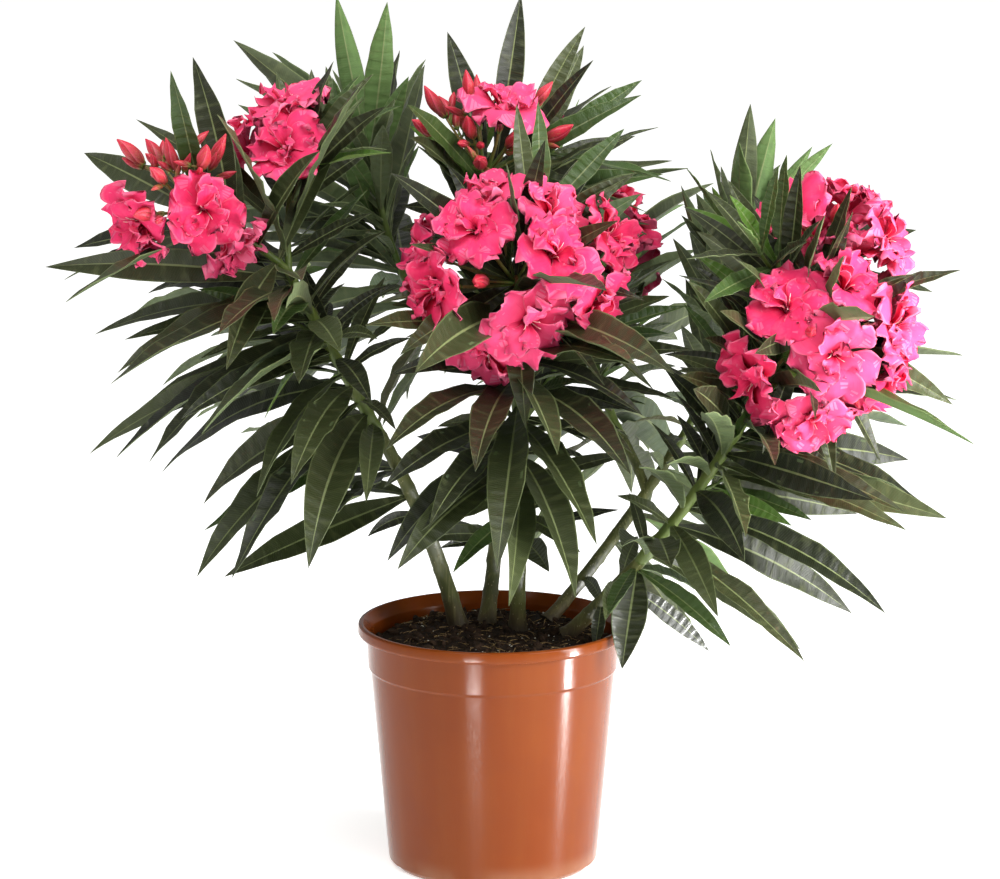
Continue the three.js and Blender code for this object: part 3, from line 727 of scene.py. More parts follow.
def grow(name, index):
    """Everything that grows in one mass: the source's blooms, buds and leaves, then the finer growth."""
    mass = MASSES[name]
    heads = [
        Head(vec(plan["at"]), blooms_of(plan, index, index * 10 + i), buds_of(plan, index, index * 10 + i))
        for i, plan in enumerate(mass["heads"])
    ]
    blooms = [bloom for part in heads for bloom in part.blooms]
    buds = [tip for part in heads for tip in part.buds]
    ribs = []
    for part in heads:
        for end in [throat(bloom) for bloom in part.blooms] + part.buds:
            ribs.append(part.at + (end - part.at) * np.array([0.5, 0.75, 1])[:, None])
    leaves = []
    for i, shoot in enumerate(mass["shoots"]):
        leaves += leaves_of(shoot, index, blooms, ribs, index * 10 + i, OWN_HABIT)
    twigs = []
    for i, shoot in enumerate(mass["shoots"]):
        twigs += side_twigs(shoot, index, blooms, buds, index * 10 + i)
    for i, shoot in enumerate(mass["shoots"]):
        leaves += leaves_of(shoot, index, blooms, ribs, index * 10 + i, FILLING_HABIT, buds)
    leaves += limb_leaves(index, blooms, ribs, buds)
    for i, twig in enumerate(twigs):
        seed = index * 10 + TWIG_SEED + i
        leaves += leaves_of(twig, index, blooms, ribs, seed, TWIG_HABIT, buds, young=True)
    for i, (plan, part) in enumerate(zip(mass["heads"], heads)):
        leaves += collar_leaves(plan, part, index, index * 10 + i)
    return Growth(leaves, mass["shoots"], twigs, heads)


# ---- Meshes from sweeps ----------------------------------------------------------------------------

# A sweep is a closed skin over rings of points. rings is stations x points x 3 in millimetres. u gives each
# face of a ring its left and right place on the map, and v is the place of each station.
Sweep = namedtuple("Sweep", "rings u v")
MAP = "OFBake"


def joined_sweeps(name, sweeps, material):
    """One mesh object of many sweeps, each closed at both ends."""
    points, corners, starts, places = [], [], [], []
    first_point, first_corner = 0, 0
    for sweep in sweeps:
        stations, size = sweep.rings.shape[:2]
        points.append(sweep.rings.reshape(-1, 3))
        i, j = np.meshgrid(np.arange(stations - 1), np.arange(size), indexing="ij")
        after = (j + 1) % size
        near, far = i * size, (i + 1) * size
        quads = np.stack([near + j, far + j, far + after, near + after], axis=-1)
        left, right = sweep.u[:, 0][j], sweep.u[:, 1][j]
        low, high = sweep.v[i], sweep.v[i + 1]
        quad_places = np.stack([left, low, left, high, right, high, right, low], axis=-1).reshape(-1, 2)
        foot = np.arange(size)
        tip = (stations - 1) * size + np.arange(size)[::-1]
        corners.append(np.concatenate([quads.reshape(-1), foot, tip]) + first_point)
        quad_starts = np.arange(quads.shape[0] * quads.shape[1]) * 4
        cap_starts = quads.size + np.array([0, size])
        starts.append(np.concatenate([quad_starts, cap_starts]) + first_corner)
        foot_places = np.column_stack([sweep.u[:, 0], np.full(size, sweep.v[0])])
        tip_places = np.column_stack([sweep.u[::-1, 0], np.full(size, sweep.v[-1])])
        places.append(np.concatenate([quad_places, foot_places, tip_places]))
        first_point += stations * size
        first_corner += quads.size + 2 * size
    points = np.concatenate(points) * MM
    corners, starts, places = np.concatenate(corners), np.concatenate(starts), np.concatenate(places)
    mesh = bpy.data.meshes.new(name)
    mesh.vertices.add(len(points))
    mesh.vertices.foreach_set("co", points.ravel())
    mesh.loops.add(len(corners))
    mesh.loops.foreach_set("vertex_index", corners)
    mesh.polygons.add(len(starts))
    mesh.polygons.foreach_set("loop_start", starts)
    mesh.polygons.foreach_set("use_smooth", np.ones(len(starts), bool))
    layer = mesh.uv_layers.new(name=MAP)
    layer.uv.foreach_set("vector", places.ravel())
    mesh.update(calc_edges=True)
    mesh.materials.append(material)
    return placed(name, mesh)


def placed(name, mesh):
    piece = bpy.data.objects.new(name, mesh)
    bpy.context.scene.collection.objects.link(piece)
    return piece


def seat(piece, slot, *nodes):
    """Sets a piece on the plant's only body and hides the solids that it stands for. The slot is not used."""
    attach(piece, "root")
    if nodes:
        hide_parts(*nodes)
    return piece


def round_sweep(line, radius_at, sides, stations, cell=(0, 1), ribs=None):
    """A closed tube along a curve. ribs may change the radius by bearing and share."""
    t = np.linspace(0, 1, stations)
    centres, along = line.at(t), line.along(t)
    side = square_to(vec((1, 0.2, 0)), along[0])
    angle = np.linspace(0, 2 * np.pi, sides, endpoint=False)
    rings = []
    for share, centre, ahead in zip(t, centres, along):
        side = square_to(side, ahead)
        other = cross(ahead, side)
        out = np.cos(angle)[:, None] * side - np.sin(angle)[:, None] * other
        radius = radius_at(share) * (ribs(angle, share) if ribs else np.ones(sides))
        rings.append(centre + out * radius[:, None])
    edges = mix(cell[0], cell[1], np.linspace(0, 1, sides + 1))
    return Sweep(np.array(rings), np.column_stack([edges[:-1], edges[1:]]), t)


# ---- Blades and petals -----------------------------------------------------------------------------

TONES = 8  # strips of the map, one for each tone of leaf or petal
STRIP_EDGE = 0.04  # left bare at each edge of a strip's upper and lower half
UPPER_COLUMNS = np.array([-1, -0.93, -0.55, -0.1, 0, 0.1, 0.55, 0.93, 1])
LOWER_COLUMNS = np.array([0.93, 0.55, 0.1, 0, -0.1, -0.55, -0.93])
COLUMNS = np.concatenate([UPPER_COLUMNS, LOWER_COLUMNS])
UPPER = len(UPPER_COLUMNS)


def strip_places(tone):
    """Where the faces of a blade's ring lie on the map: its upper side, then its lower side."""
    left, right = COLUMNS, np.roll(COLUMNS, -1)
    half = (np.arange(len(COLUMNS)) >= UPPER - 1)[:, None]
    across = 0.5 + (0.5 - STRIP_EDGE) * np.column_stack([left, right])
    return (tone + (across + half) / 2) / TONES


def blade_sweep(centres, across, up, half_width, lift, thickness, rib, tone, v):
    """A thin closed blade: rings that run over its upper side and back under its lower side.

    half_width and thickness hold one value a station, lift one a station and column, and rib says how far
    the midrib stands out below.
    """
    under = np.concatenate([np.zeros(UPPER), np.ones(len(LOWER_COLUMNS))])
    ribbed = np.exp(-((COLUMNS / 0.12) ** 2)) * under
    depth = under * thickness[:, None] + ribbed * rib[:, None]
    height = lift - depth
    sideways = COLUMNS * half_width[:, None]
    rings = centres[:, None] + sideways[..., None] * across[:, None] + height[..., None] * up[:, None]
    return Sweep(rings, strip_places(tone), v)


# How a leaf differs from its plain blade: shares of its length or width, but stalk, least_half and rib in
# millimetres. A pair is dealt as its first number and up to its second more, or says where a change along the
# leaf begins and ends.
LEAF_SHAPE = {
    "swerve": 0.07,
    "limp": 0.06,
    "stalk": 1.5,
    "stalk_fades": (0.02, 0.14),
    "blade_starts": (-0.03, 0.12),
    "least_half": 0.12,
    "broad": (0.8, 0.32),
    "fold": (0.5, 1),
    "wave": (0.3, 1),
    "waves": (2.5, 2.5),
    "rib": (0.1, 0.9),
}


def leaf_sweep(leaf, look, number):
    """One leaf: narrow at its stalk, folded along its midrib, with wavy edges."""
    roll = dice(SEEDS["leaf"] + number)
    shape = LEAF_SHAPE
    blade = leaf.blade
    stations = look.stations
    s = 0.5 - 0.5 * np.cos(np.linspace(0, np.pi, stations))
    centres, _, across, up = blade.frame(s)
    length = blade.length
    swerve = spread(roll, shape["swerve"]) * length * s**2
    limp = shape["limp"] * length * roll() * s**3
    centres = centres + swerve[:, None] * across + limp[:, None] * DOWN
    stalk = shape["stalk"] * (1 - smooth(*shape["stalk_fades"], s))
    broad = leaf.broad * dealt(roll, *shape["broad"])
    half = broad * np.maximum(blade.half_width(s), shape["least_half"])
    half = half * smooth(*shape["blade_starts"], s) + stalk
    turning = look.twist * (2 * roll() - 1) * s[:, None]
    cos, sin = np.cos(turning), np.sin(turning)
    across, up = across * cos + up * sin, up * cos - across * sin
    u = np.abs(COLUMNS)
    fold = look.fold * dealt(roll, *shape["fold"])
    wave = look.wave * dealt(roll, *shape["wave"])
    turns = dealt(roll, *shape["waves"])
    phase = 2 * np.pi * np.array([roll(), roll()])
    shift = np.where(COLUMNS > 0, phase[0], phase[1])
    ripple = np.sin(2 * np.pi * turns * s[:, None] + shift)
    lift = half[:, None] * (fold * u**1.3 + wave * ripple * u**2)
    body = np.sin(np.pi * np.clip(s, 0, 1)) ** 0.5
    thickness = (look.thickness / MM) * (0.4 + 0.6 * body) + 2 * stalk / shape["stalk"] * 0.7
    rib = shape["rib"][1] * (1 - s) ** 0.7 + shape["rib"][0]
    return blade_sweep(centres, across, up, half, lift, thickness, rib, leaf_tone(leaf, roll), s)


UPPER_TONES = (1, 2, 7, 2, 3, 5, 1, 2)
LOWER_TONES = (0, 1, 2, 3, 7, 1, 0, 2)
BRIGHT_TONES = (4, 5)
WORN_TONE = 6  # for old leaves, which alone have scars


def leaf_tone(leaf, roll):
    """Bright for some leaves near a shoot's tip, worn for some of the lowest, else a darker tone."""
    chance = roll()
    if (leaf.young or (leaf.share > 0.86 and leaf.blade.length < 135)) and chance < 0.4:
        return BRIGHT_TONES[0 if chance < 0.12 else 1]
    if leaf.share < 0.35 and chance < 0.25:
        return WORN_TONE
    tones = UPPER_TONES if leaf.share > 0.74 else LOWER_TONES
    return tones[int(chance * len(tones))]


# The rings of petals from the outside in: reach and width as shares of the bloom's radius, the heights at
# which they start and end, how much their edges cup, how far the ring is turned and how far each petal leans
# over its neighbour, in degrees.
PETAL_SHAPE = {
    "outer": {
        "count": 5, "reach": 1.02, "width": 0.64, "start": -9, "rise": 3, "cup": -0.04, "turn": 0, "lean": 8
    },
    "inner": {
        "count": 3, "reach": 0.68, "width": 0.4, "start": -8, "rise": 8, "cup": 0.06, "turn": 40, "lean": 22
    },
    "heart": {
        "count": 2, "reach": 0.4, "width": 0.24, "start": -7, "rise": 9, "cup": 0.3, "turn": 12, "lean": 30
    },
}

# How far petals stray from their ring's shape: degrees, shares of the petal's size and millimetres.
PETAL_SCATTER = {
    "bearing": 13,
    "reach": 0.14,
    "rise": 3.5,
    "droop": 6,
    "swerve": 0.16,
    "lean": 10,
    "width": 0.14,
}
PETAL_DROOP = 3
STEEPNESS = 3.4  # of a petal's rise out of the throat
BLUNT_END = {"from": 0.66, "over": 0.345, "power": 2.6}
RIB_HALF = 0.1  # the share of a petal's half width that its flat middle takes


def petal_sweep(bloom, shape, k, look, roll, tone):
    """One petal: out of the throat, over and outwards, in waves that grow towards its edge."""
    scatter = PETAL_SCATTER
    bearing = bloom.turn + shape["turn"] + k * 360 / shape["count"] + spread(roll, scatter["bearing"])
    radial = between(*axes_about(bloom.facing, BLOOM_ACROSS), math.radians(bearing))
    tangential = cross(bloom.facing, radial)
    v = 1 - (1 - np.linspace(0, 1, look.stations)) ** 1.5
    reach = bloom.radius * shape["reach"] * (1 + spread(roll, scatter["reach"]))
    rise = shape["rise"] + spread(roll, scatter["rise"])
    droop = spread(roll, scatter["droop"]) - PETAL_DROOP
    radius = reach * (0.07 + 0.93 * v**1.15)
    steep = (1 - np.exp(-STEEPNESS * v)) / (1 - math.exp(-STEEPNESS))
    height = shape["start"] + (rise - shape["start"]) * steep + droop * v**3
    swerve = spread(roll, scatter["swerve"]) * reach * v**2
    centres = bloom.centre + radius[:, None] * radial + height[:, None] * bloom.facing
    centres = centres + swerve[:, None] * tangential
    ahead = np.gradient(centres, axis=0)
    ahead /= np.linalg.norm(ahead, axis=1, keepdims=True)
    side = tangential - (ahead @ tangential)[:, None] * ahead
    side /= np.linalg.norm(side, axis=1, keepdims=True)
    up = np.cross(ahead, side)
    lean = math.radians(shape["lean"] + spread(roll, scatter["lean"]))
    side, up = between(side, up, lean), between(up, -side, lean)
    ending = np.clip(v - BLUNT_END["from"], 0, 1) / BLUNT_END["over"]
    blunt = np.sqrt(np.clip(1 - ending ** BLUNT_END["power"], 0, 1))
    width = shape["width"] * (1 + spread(roll, scatter["width"]))
    half = bloom.radius * width * (0.16 + 0.84 * smooth(0, 0.6, v)) * blunt + 0.15
    phase, second_phase = 2 * math.pi * roll(), 2 * math.pi * roll()
    waves = 0.8 + 0.9 * roll()
    u = COLUMNS[None, :]
    edge = 1 - (1 - u**2) * (1 - smooth(0.5, 1, v)[:, None])
    beside_rib = np.sign(u) * np.clip(np.abs(u) - RIB_HALF, 0, 1) / (1 - RIB_HALF)
    sideways = beside_rib * blunt[:, None]
    wave = np.sin(2 * np.pi * (waves * sideways + 0.9 * v[:, None]) + phase)
    fine_wave = 0.5 * np.sin(2 * np.pi * (1.2 * sideways - 1.7 * v[:, None]) + second_phase)
    ruffle = look.ruffle / MM * edge * v[:, None] * (wave + fine_wave)
    curl = -look.curl / MM * smooth(0.7, 1.1, v)[:, None] * (0.4 + 0.6 * u**2)
    lift = half[:, None] * shape["cup"] * u**2 + ruffle + curl
    thickness = np.full(len(v), look.thickness / MM)
    petal = blade_sweep(centres, side, up, half, lift, thickness, np.zeros(len(v)), tone, v)
    teeth = np.sin(2 * np.pi * 1.1 * beside_rib + second_phase)
    ragged = look.ragged / MM * smooth(0.6, 1, v)[:, None] * teeth
    return petal._replace(rings=petal.rings + ragged[..., None] * ahead[:, None])


BODY_TONES = 3  # the first strips, one of which each bloom takes
FRINGE_TONE = 7  # the last strip
FRINGE_THREADS = 5


def bloom_sweeps(bloom, look, number):
    """A double bloom: three rings of petals and the pale fringe in its throat."""
    roll = dice(SEEDS["petals"] + number)
    tone = int(roll() * BODY_TONES)
    sweeps = []
    for shape in PETAL_SHAPE.values():
        for k in range(shape["count"]):
            sweeps.append(petal_sweep(bloom, shape, k, look, roll, tone))
    facing = bloom.facing
    across = square_to(vec(BLOOM_ACROSS), facing)
    cell = ((FRINGE_TONE + 0.1) / TONES, (FRINGE_TONE + 0.4) / TONES)
    for k in range(FRINGE_THREADS):
        way = swung(across, facing, bloom.turn + 360 / FRINGE_THREADS * k + spread(roll, 20))
        start = bloom.centre - 6 * facing + 2 * way
        middle = start + 8 * facing + 1.5 * way
        end = middle + 3 * facing + 3.5 * way + spread(roll, 1.5) * cross(way, facing)
        sweeps.append(round_sweep(Curve(start, middle, end), lambda t: 0.55 * (1 - 0.6 * t), 4, 4, cell))
    return sweeps


# ---- Heads: stalks, tubes, calyces and buds --------------------------------------------------------

# Strips of the map of the heads' small parts.
STRIPS = {"stalk": 0, "calyx": 1, "tube": 2, "bud": 3, "green bud": 4}
STRIP_COUNT = len(STRIPS)
BUD_FOLDS = 5
SEPALS = 5


def strip(name):
    """The left and right edges of a strip, a little inside it."""
    start = STRIPS[name] / STRIP_COUNT
    return start + 0.01, start + 1 / STRIP_COUNT - 0.01


def spindle(length, thick):
    """The radius along a bud: narrow foot, full body, pointed tip."""
    body = 0.1, 0.98  # which part of a sine's hump the bud follows
    return lambda t: thick * (np.sin(np.pi * mix(*body, t)) ** 0.9) * (1 - 0.25 * t) + 0.12


def twisted(depth):
    """The wound folds of a closed bud."""
    return lambda angle, share: 1 + depth * np.cos(BUD_FOLDS * (angle + share))


def calyx_sweeps(foot, way, radius, roll):
    """Five pointed sepals round the foot of a bloom's tube or a bud."""
    across = square_to(vec((0.3, 1, 0.2)), way)
    turn = 360 / SEPALS * roll()
    sweeps = []
    for k in range(SEPALS):
        out = swung(across, way, turn + 360 / SEPALS * k)
        start = foot + out * radius * 0.35 - way
        middle = foot + out * (radius + 0.7) + way * 1.5
        end = foot + out * (radius + 0.9 + 0.5 * roll()) + way * (4.6 + 1.4 * roll())
        sepal = Curve(start, middle, end)
        sweeps.append(round_sweep(sepal, lambda t: 1.15 * (1 - t) ** 0.7 + 0.1, 5, 5, strip("calyx")))
    return sweeps


GREEN_BUD = 2.3  # a thinner bud is still green


def bud_sweeps(foot, tip, thick, roll):
    """A bud from its foot to its tip, with its calyx."""
    way = unit(tip - foot)
    length = float(np.linalg.norm(tip - foot))
    kind = "green bud" if thick < GREEN_BUD else "bud"
    lean = square_to(vec((spread(roll, 1), spread(roll, 1), 0.3)), way) * length * 0.05
    body = round_sweep(
        Curve(foot, (foot + tip) / 2 + lean, tip), spindle(length, thick), 10, 12, strip(kind), twisted(0.09)
    )
    return [body, *calyx_sweeps(foot, way, thick * 0.5, roll)]


def stalk_sweep(start, end, radii, roll, sag=3):
    middle = (start + end) / 2 + vec((spread(roll, 2), spread(roll, 2), -sag * roll()))
    return round_sweep(Curve(start, middle, end), lambda t: mix(*radii, t), 7, 8, strip("stalk"))


BUD_ROOM = 33  # from a bloom's middle to the tip of the nearest bud
STALK_RADII = {"bloom": (1.7, 1.2), "bud": (1.3, 0.9), "side bud": (0.9, 0.8)}
TUBE = {"back": 9, "bend": 7, "radius": 1.3, "flare": 2.1}
TOP_BUD = {"length": (22, 7), "thick": (4.4, 1.8)}
SIDE_BUD = {
    "count": 3,
    "astray": 0.85,
    "on": (0.65, 0.35),
    "stalk": (5, 7),
    "length": (11, 7),
    "thick": (1.8, 1.9),
}


def covered(tip, blooms):
    return not apart(tip[None], middles(blooms), BUD_ROOM)


def head_sweeps(part, number, blooms):
    """The knot of a head, and a stalk from it to each bloom's tube and to each bud that no bloom covers."""
    reach = KNOT_RADIUS * 0.8
    knot = Curve(part.at - reach * UP, part.at, part.at + reach * UP)
    swelling = lambda t: 0.6 * KNOT_RADIUS * np.sin(np.pi * mix(0.06, 0.94, t))
    sweeps = [round_sweep(knot, swelling, 10, 9, strip("stalk"))]
    for i, bloom in enumerate(part.blooms):
        roll = dice(SEEDS["stalk"] + number * 100 + i)
        end = throat(bloom)
        foot = end - (unit(end - part.at) + bloom.facing) * TUBE["back"]
        sweeps.append(stalk_sweep(part.at, foot, STALK_RADII["bloom"], roll))
        tube = Curve(foot, end - bloom.facing * TUBE["bend"], end + bloom.facing)
        widening = lambda t: TUBE["radius"] + TUBE["flare"] * t**2.5
        sweeps.append(round_sweep(tube, widening, 10, 8, strip("tube")))
        sweeps += calyx_sweeps(foot, unit(end - foot), 1.4, roll)
    for i, tip in enumerate(part.buds):
        roll = dice(SEEDS["bud"] + number * 100 + i)
        if covered(tip, blooms):
            continue
        reach = unit(tip - part.at)
        foot = tip - reach * dealt(roll, *TOP_BUD["length"])
        sweeps.append(stalk_sweep(part.at, foot, STALK_RADII["bud"], roll))
        sweeps += bud_sweeps(foot, tip, dealt(roll, *TOP_BUD["thick"]), roll)
        for _ in range(SIDE_BUD["count"]):
            way = unit(reach + vec([spread(roll, SIDE_BUD["astray"]) for _ in range(3)]))
            start = mix(part.at, foot, dealt(roll, *SIDE_BUD["on"]))
            small_foot = start + way * dealt(roll, *SIDE_BUD["stalk"])
            small_tip = small_foot + way * dealt(roll, *SIDE_BUD["length"])
            if covered(small_tip, blooms):
                continue
            sweeps.append(stalk_sweep(start, small_foot, STALK_RADII["side bud"], roll, 0.5))
            sweeps += bud_sweeps(small_foot, small_tip, dealt(roll, *SIDE_BUD["thick"]), roll)
    return sweeps


# ---- Finishes --------------------------------------------------------------------------------------


class Signal:
    """What a node gives out. Its sums, differences, products and quotients are nodes as well."""

    def __init__(self, finish, socket):
        self.finish, self.socket = finish, socket

    def __add__(self, other):
        return self.finish.math("ADD", self, other)

    def __sub__(self, other):
        return self.finish.math("SUBTRACT", self, other)

    def __rsub__(self, other):
        return self.finish.math("SUBTRACT", other, self)

    def __mul__(self, other):
        return self.finish.math("MULTIPLY", self, other)

    def __truediv__(self, other):
        return self.finish.math("DIVIDE", self, other)


class Finish:
    """A material that is being put together: a small language for nodes that end in one shader.

    Colours may be given as six hex digits.
    """

    def __init__(self, name, **settings):
        self.material = bpy.data.materials.new(name)
        self.material.use_nodes = True
        self.tree = self.material.node_tree
        self.shader = self.tree.nodes["Principled BSDF"]
        for socket, value in settings.items():
            self.shader.inputs[socket.replace("_", " ")].default_value = value

    def node(self, kind, inputs=(), output=0, **settings):
        node = self.tree.nodes.new("ShaderNode" + kind)
        for key, value in settings.items():
            setattr(node, key, value)
        for key, value in dict(inputs).items():
            self.feed(node.inputs[key], value)
        return Signal(self, node.outputs[output])

    def feed(self, socket, value):
        if isinstance(value, Signal):
            self.tree.links.new(value.socket, socket)
        else:
            socket.default_value = rgb(value) if isinstance(value, str) else value

    def place(self, scale=(1, 1, 1)):
        """Object coordinates, stretched."""
        return self.node("Mapping", {"Vector": self.node("TexCoord", output="Object"), "Scale": scale})

    def height(self):
        return self.node("SeparateXYZ", {"Vector": self.node("TexCoord", output="Object")}, "Z")

    def map_place(self):
        """Where a point lies across and along the piece's own map."""
        across = self.node("SeparateXYZ", {"Vector": self.node("UVMap", uv_map=MAP)}, "X")
        return across, Signal(self, across.socket.node.outputs["Y"])

    def math(self, operation, *values):
        return self.node("Math", dict(enumerate(values)), operation=operation)

    def noise(self, vector, scale, detail=4.0, roughness=0.55):
        inputs = {"Vector": vector, "Scale": scale, "Detail": detail, "Roughness": roughness}
        return self.node("TexNoise", inputs)

    def map_noise(self, spot, across, along, detail, roughness=0.55):
        """Noise on a strip of the map, with its own scale across the strip and along it."""
        stretched = self.node("Mapping", {"Vector": spot, "Scale": (across, along, 1)})
        return self.noise(stretched, 1, detail, roughness)

    def range(self, value, low, high, to_low=0.0, to_high=1.0):
        """A smooth step from one value to another."""
        inputs = {"Value": value, "From Min": low, "From Max": high, "To Min": to_low, "To Max": to_high}
        return self.node("MapRange", inputs, interpolation_type="SMOOTHSTEP")

    def blend(self, share, low, high):
        return self.node("Mix", {0: share, 6: low, 7: high}, 2, data_type="RGBA")

    def tint(self, colour, mask, strength, over):
        """Lays a colour over another where a mask is bright."""
        return self.blend(mask * strength, colour, over)

    def ramp(self, value, stops, interpolation="EASE"):
        signal = self.node("ValToRGB", {"Fac": value}, "Color")
        ramp = signal.socket.node.color_ramp
        ramp.interpolation = interpolation
        while len(ramp.elements) < len(stops):
            ramp.elements.new(0.5)
        for element, (position, code) in zip(ramp.elements, stops):
            element.position = position
            element.color = rgb(code)
        return signal

    def tones(self, value, codes):
        """One flat colour for each equal step of a value from 0 to 1."""
        return self.ramp(value, [(i / len(codes), code) for i, code in enumerate(codes)], "CONSTANT")

    def bump(self, height, distance, strength=1.0):
        normal = self.node("Bump", {"Height": height, "Distance": distance, "Strength": strength}, "Normal")
        self.feed(self.shader.inputs["Normal"], normal)

    def done(self, colour, roughness):
        self.feed(self.shader.inputs["Base Color"], colour)
        self.feed(self.shader.inputs["Roughness"], roughness)
        return self.material


# Where a point of a leaf or petal lies: the strip's share of the map, which side it is on, how far across it
# is from rib to edge and how far along, and a spot that is different for every strip, for noise.
Place = namedtuple("Place", "tone lower across along spot")
STRIP_SHIFT = 40.0


def strip_share(finish, scaled, count):
    """The middle of the strip that a point is in, as a share of the map."""
    return (finish.math("FLOOR", scaled) + 0.5) / float(count)


def strip_reading(finish):
    across, along = finish.map_place()
    scaled = across * float(TONES)
    tone = strip_share(finish, scaled, TONES)
    doubled = finish.math("FRACT", scaled) * 2.0
    lower = finish.math("GREATER_THAN", doubled, 1.0)
    signed = (finish.math("FRACT", doubled) - 0.5) / (0.5 - STRIP_EDGE)
    spot = finish.node("CombineXYZ", {"X": signed + tone * STRIP_SHIFT, "Y": along})
    return Place(tone, lower, finish.math("ABSOLUTE", signed), along, spot)


LEAF_TOPS = ("1b200f", "262b14", "31381b", "424a2a", "48691f", "394f20", "33381e", "202511")
LEAF_UNDERSIDES = ("4a5836", "454f30", "54633d", "617049", "6a8a38", "58753c", "5c5d40", "48563b")
SIDE_VEINS = 95.0  # along a leaf
SURFACE_RIPPLES = 88.0


def leaf_finish(look):
    """Leathery leaves: dull pale ribs, pale edges that are partly a painted highlight, fine side veins, paler
    undersides, scars on the old ones.
    """
    finish = Finish("oleander leaf", Specular_IOR_Level=0.4)
    tone, lower, across, along, spot = strip_reading(finish)
    upper_side = finish.tones(tone, LEAF_TOPS)
    colour = finish.blend(lower, upper_side, finish.tones(tone, LEAF_UNDERSIDES))
    cloud = finish.map_noise(spot, 1.2, 7, 3)
    # Pale bands across the leaf: painted sheen, standing in for the light that its undulating surface
    # reflects.
    bands = finish.map_noise(spot, 0.7, 26, 2)
    pale = finish.blend(0.5, colour, "787f52")
    colour = finish.tint(colour, finish.range(bands, 0.5, 0.72), 0.45, pale)
    colour = finish.tint(colour, finish.range(cloud, 0.45, 0.75), 0.5, upper_side)
    vein = finish.math("SINE", (along * SIDE_VEINS - across * 3.0) * math.pi)
    vein_line = finish.range(finish.math("ABSOLUTE", vein), 0.25, 0.0)
    colour = finish.tint(colour, vein_line, 0.12, "6c7850")
    worn = finish.math("COMPARE", tone, (WORN_TONE + 0.5) / TONES, 0.01)
    scars = finish.range(finish.map_noise(spot, 2.4, 16, 5, 0.7), 0.56, 0.66) * worn
    colour = finish.tint(colour, scars, 0.5, "5b3f22")
    # Paler margin: partly the leaf's own colour, partly a painted highlight where the edge turns to the
    # light.
    colour = finish.tint(colour, finish.range(across, 0.9, 0.97), 0.42, "7d8a58")
    rib_width = 0.07 - along * 0.045
    rib = finish.math("LESS_THAN", across, rib_width)
    colour = finish.tint(colour, finish.range(across - rib_width, 0.03, -0.01), 0.8, tuple(look.rib_colour))
    ripple = finish.math("SINE", (along + bands * 0.06) * SURFACE_RIPPLES)
    finish.bump(ripple * 0.5 + vein_line * -0.5 + rib * 0.5, 0.0005, 0.7)
    return finish.done(colour, finish.range(lower, 0.0, 1.0, 0.34, 0.58) + bands * 0.14)


PETAL_TONES = ("f03c70", "ea3465", "f24c7c", "ee406c", "e43060", "f04878", "ea3c66", "f8b4b8")
PETAL_BACKS = ("f0648c", "ea5880", "f27498", "ee668a", "e4567c", "f06c90", "ea5e84", "f8c8ca")


def petal_finish(look):
    """Silky petals: deep rose in the throat, with fine veins, paler towards wavy edges, partly by painted
    highlight.
    """
    finish = Finish("oleander petal", Specular_IOR_Level=0.05)
    tone, lower, across, along, spot = strip_reading(finish)
    body = finish.blend(lower, finish.tones(tone, PETAL_TONES), finish.tones(tone, PETAL_BACKS))
    cloud = finish.map_noise(spot, 2.0, 2.6, 3)
    lines = finish.map_noise(spot, 11.0, 1.6, 2)
    colour = finish.blend(finish.range(along, 0.42, 0.1), body, tuple(look.throat_colour))
    colour = finish.tint(colour, finish.range(cloud, 0.42, 0.72), 0.4, "f46488")
    inner = finish.range(along, 0.85, 0.5)
    colour = finish.tint(colour, finish.range(lines, 0.52, 0.7) * inner, 0.4, "d62652")
    # Paler edges and tips: partly the petal's own colour, partly a painted highlight where the edges catch
    # the light.
    rim = finish.math("MAXIMUM", finish.range(across, 0.84, 1.0), finish.range(along, 0.93, 1.0))
    colour = finish.tint(colour, rim, 0.5, "f58aa6")
    fringe = finish.math("GREATER_THAN", tone, (FRINGE_TONE + 0.2) / TONES)
    colour = finish.blend(fringe, colour, "ffd9d4")
    finish.bump(cloud, 0.001, 0.15)
    return finish.done(colour, finish.range(lines, 0.0, 1.0, 0.7, 0.85))


# The colours of the heads' small parts at their feet and tips, in the order of STRIPS.
SMALL_PART_FEET = ("5d7c33", "5f7f34", "b34a5c", "8f3a34", "7f9440")
SMALL_PART_TIPS = ("7c6b38", "a8493a", "e8587e", "c91f3c", "b0413a")


def head_finish():
    """The small parts of a head: green stalks, reddish sepals, rose tubes and buds."""
    finish = Finish("oleander bud", Specular_IOR_Level=0.4)
    across, along = finish.map_place()
    scaled = across * float(STRIP_COUNT)
    kind = strip_share(finish, scaled, STRIP_COUNT)
    foot, tip = finish.tones(kind, SMALL_PART_FEET), finish.tones(kind, SMALL_PART_TIPS)
    colour = finish.blend(finish.range(along, 0.05, 0.75), foot, tip)
    fold = finish.math("FRACT", finish.math("FRACT", scaled) * float(BUD_FOLDS) + along * 0.8)
    is_bud = finish.math("GREATER_THAN", kind, STRIPS["bud"] / STRIP_COUNT)
    colour = finish.tint(colour, finish.range(fold, 0.2, 0.0) * is_bud, 0.6, "7a1226")
    colour = finish.tint(colour, finish.range(fold, 0.6, 0.95) * is_bud, 0.35, "f06a86")
    speck = finish.noise(finish.place(), 900, 3)
    colour = finish.tint(colour, finish.range(speck, 0.5, 0.75), 0.25, "a7b06a")
    finish.bump(speck + fold, 0.0003, 0.5)
    return finish.done(colour, finish.range(speck, 0.2, 0.8, 0.38, 0.55))


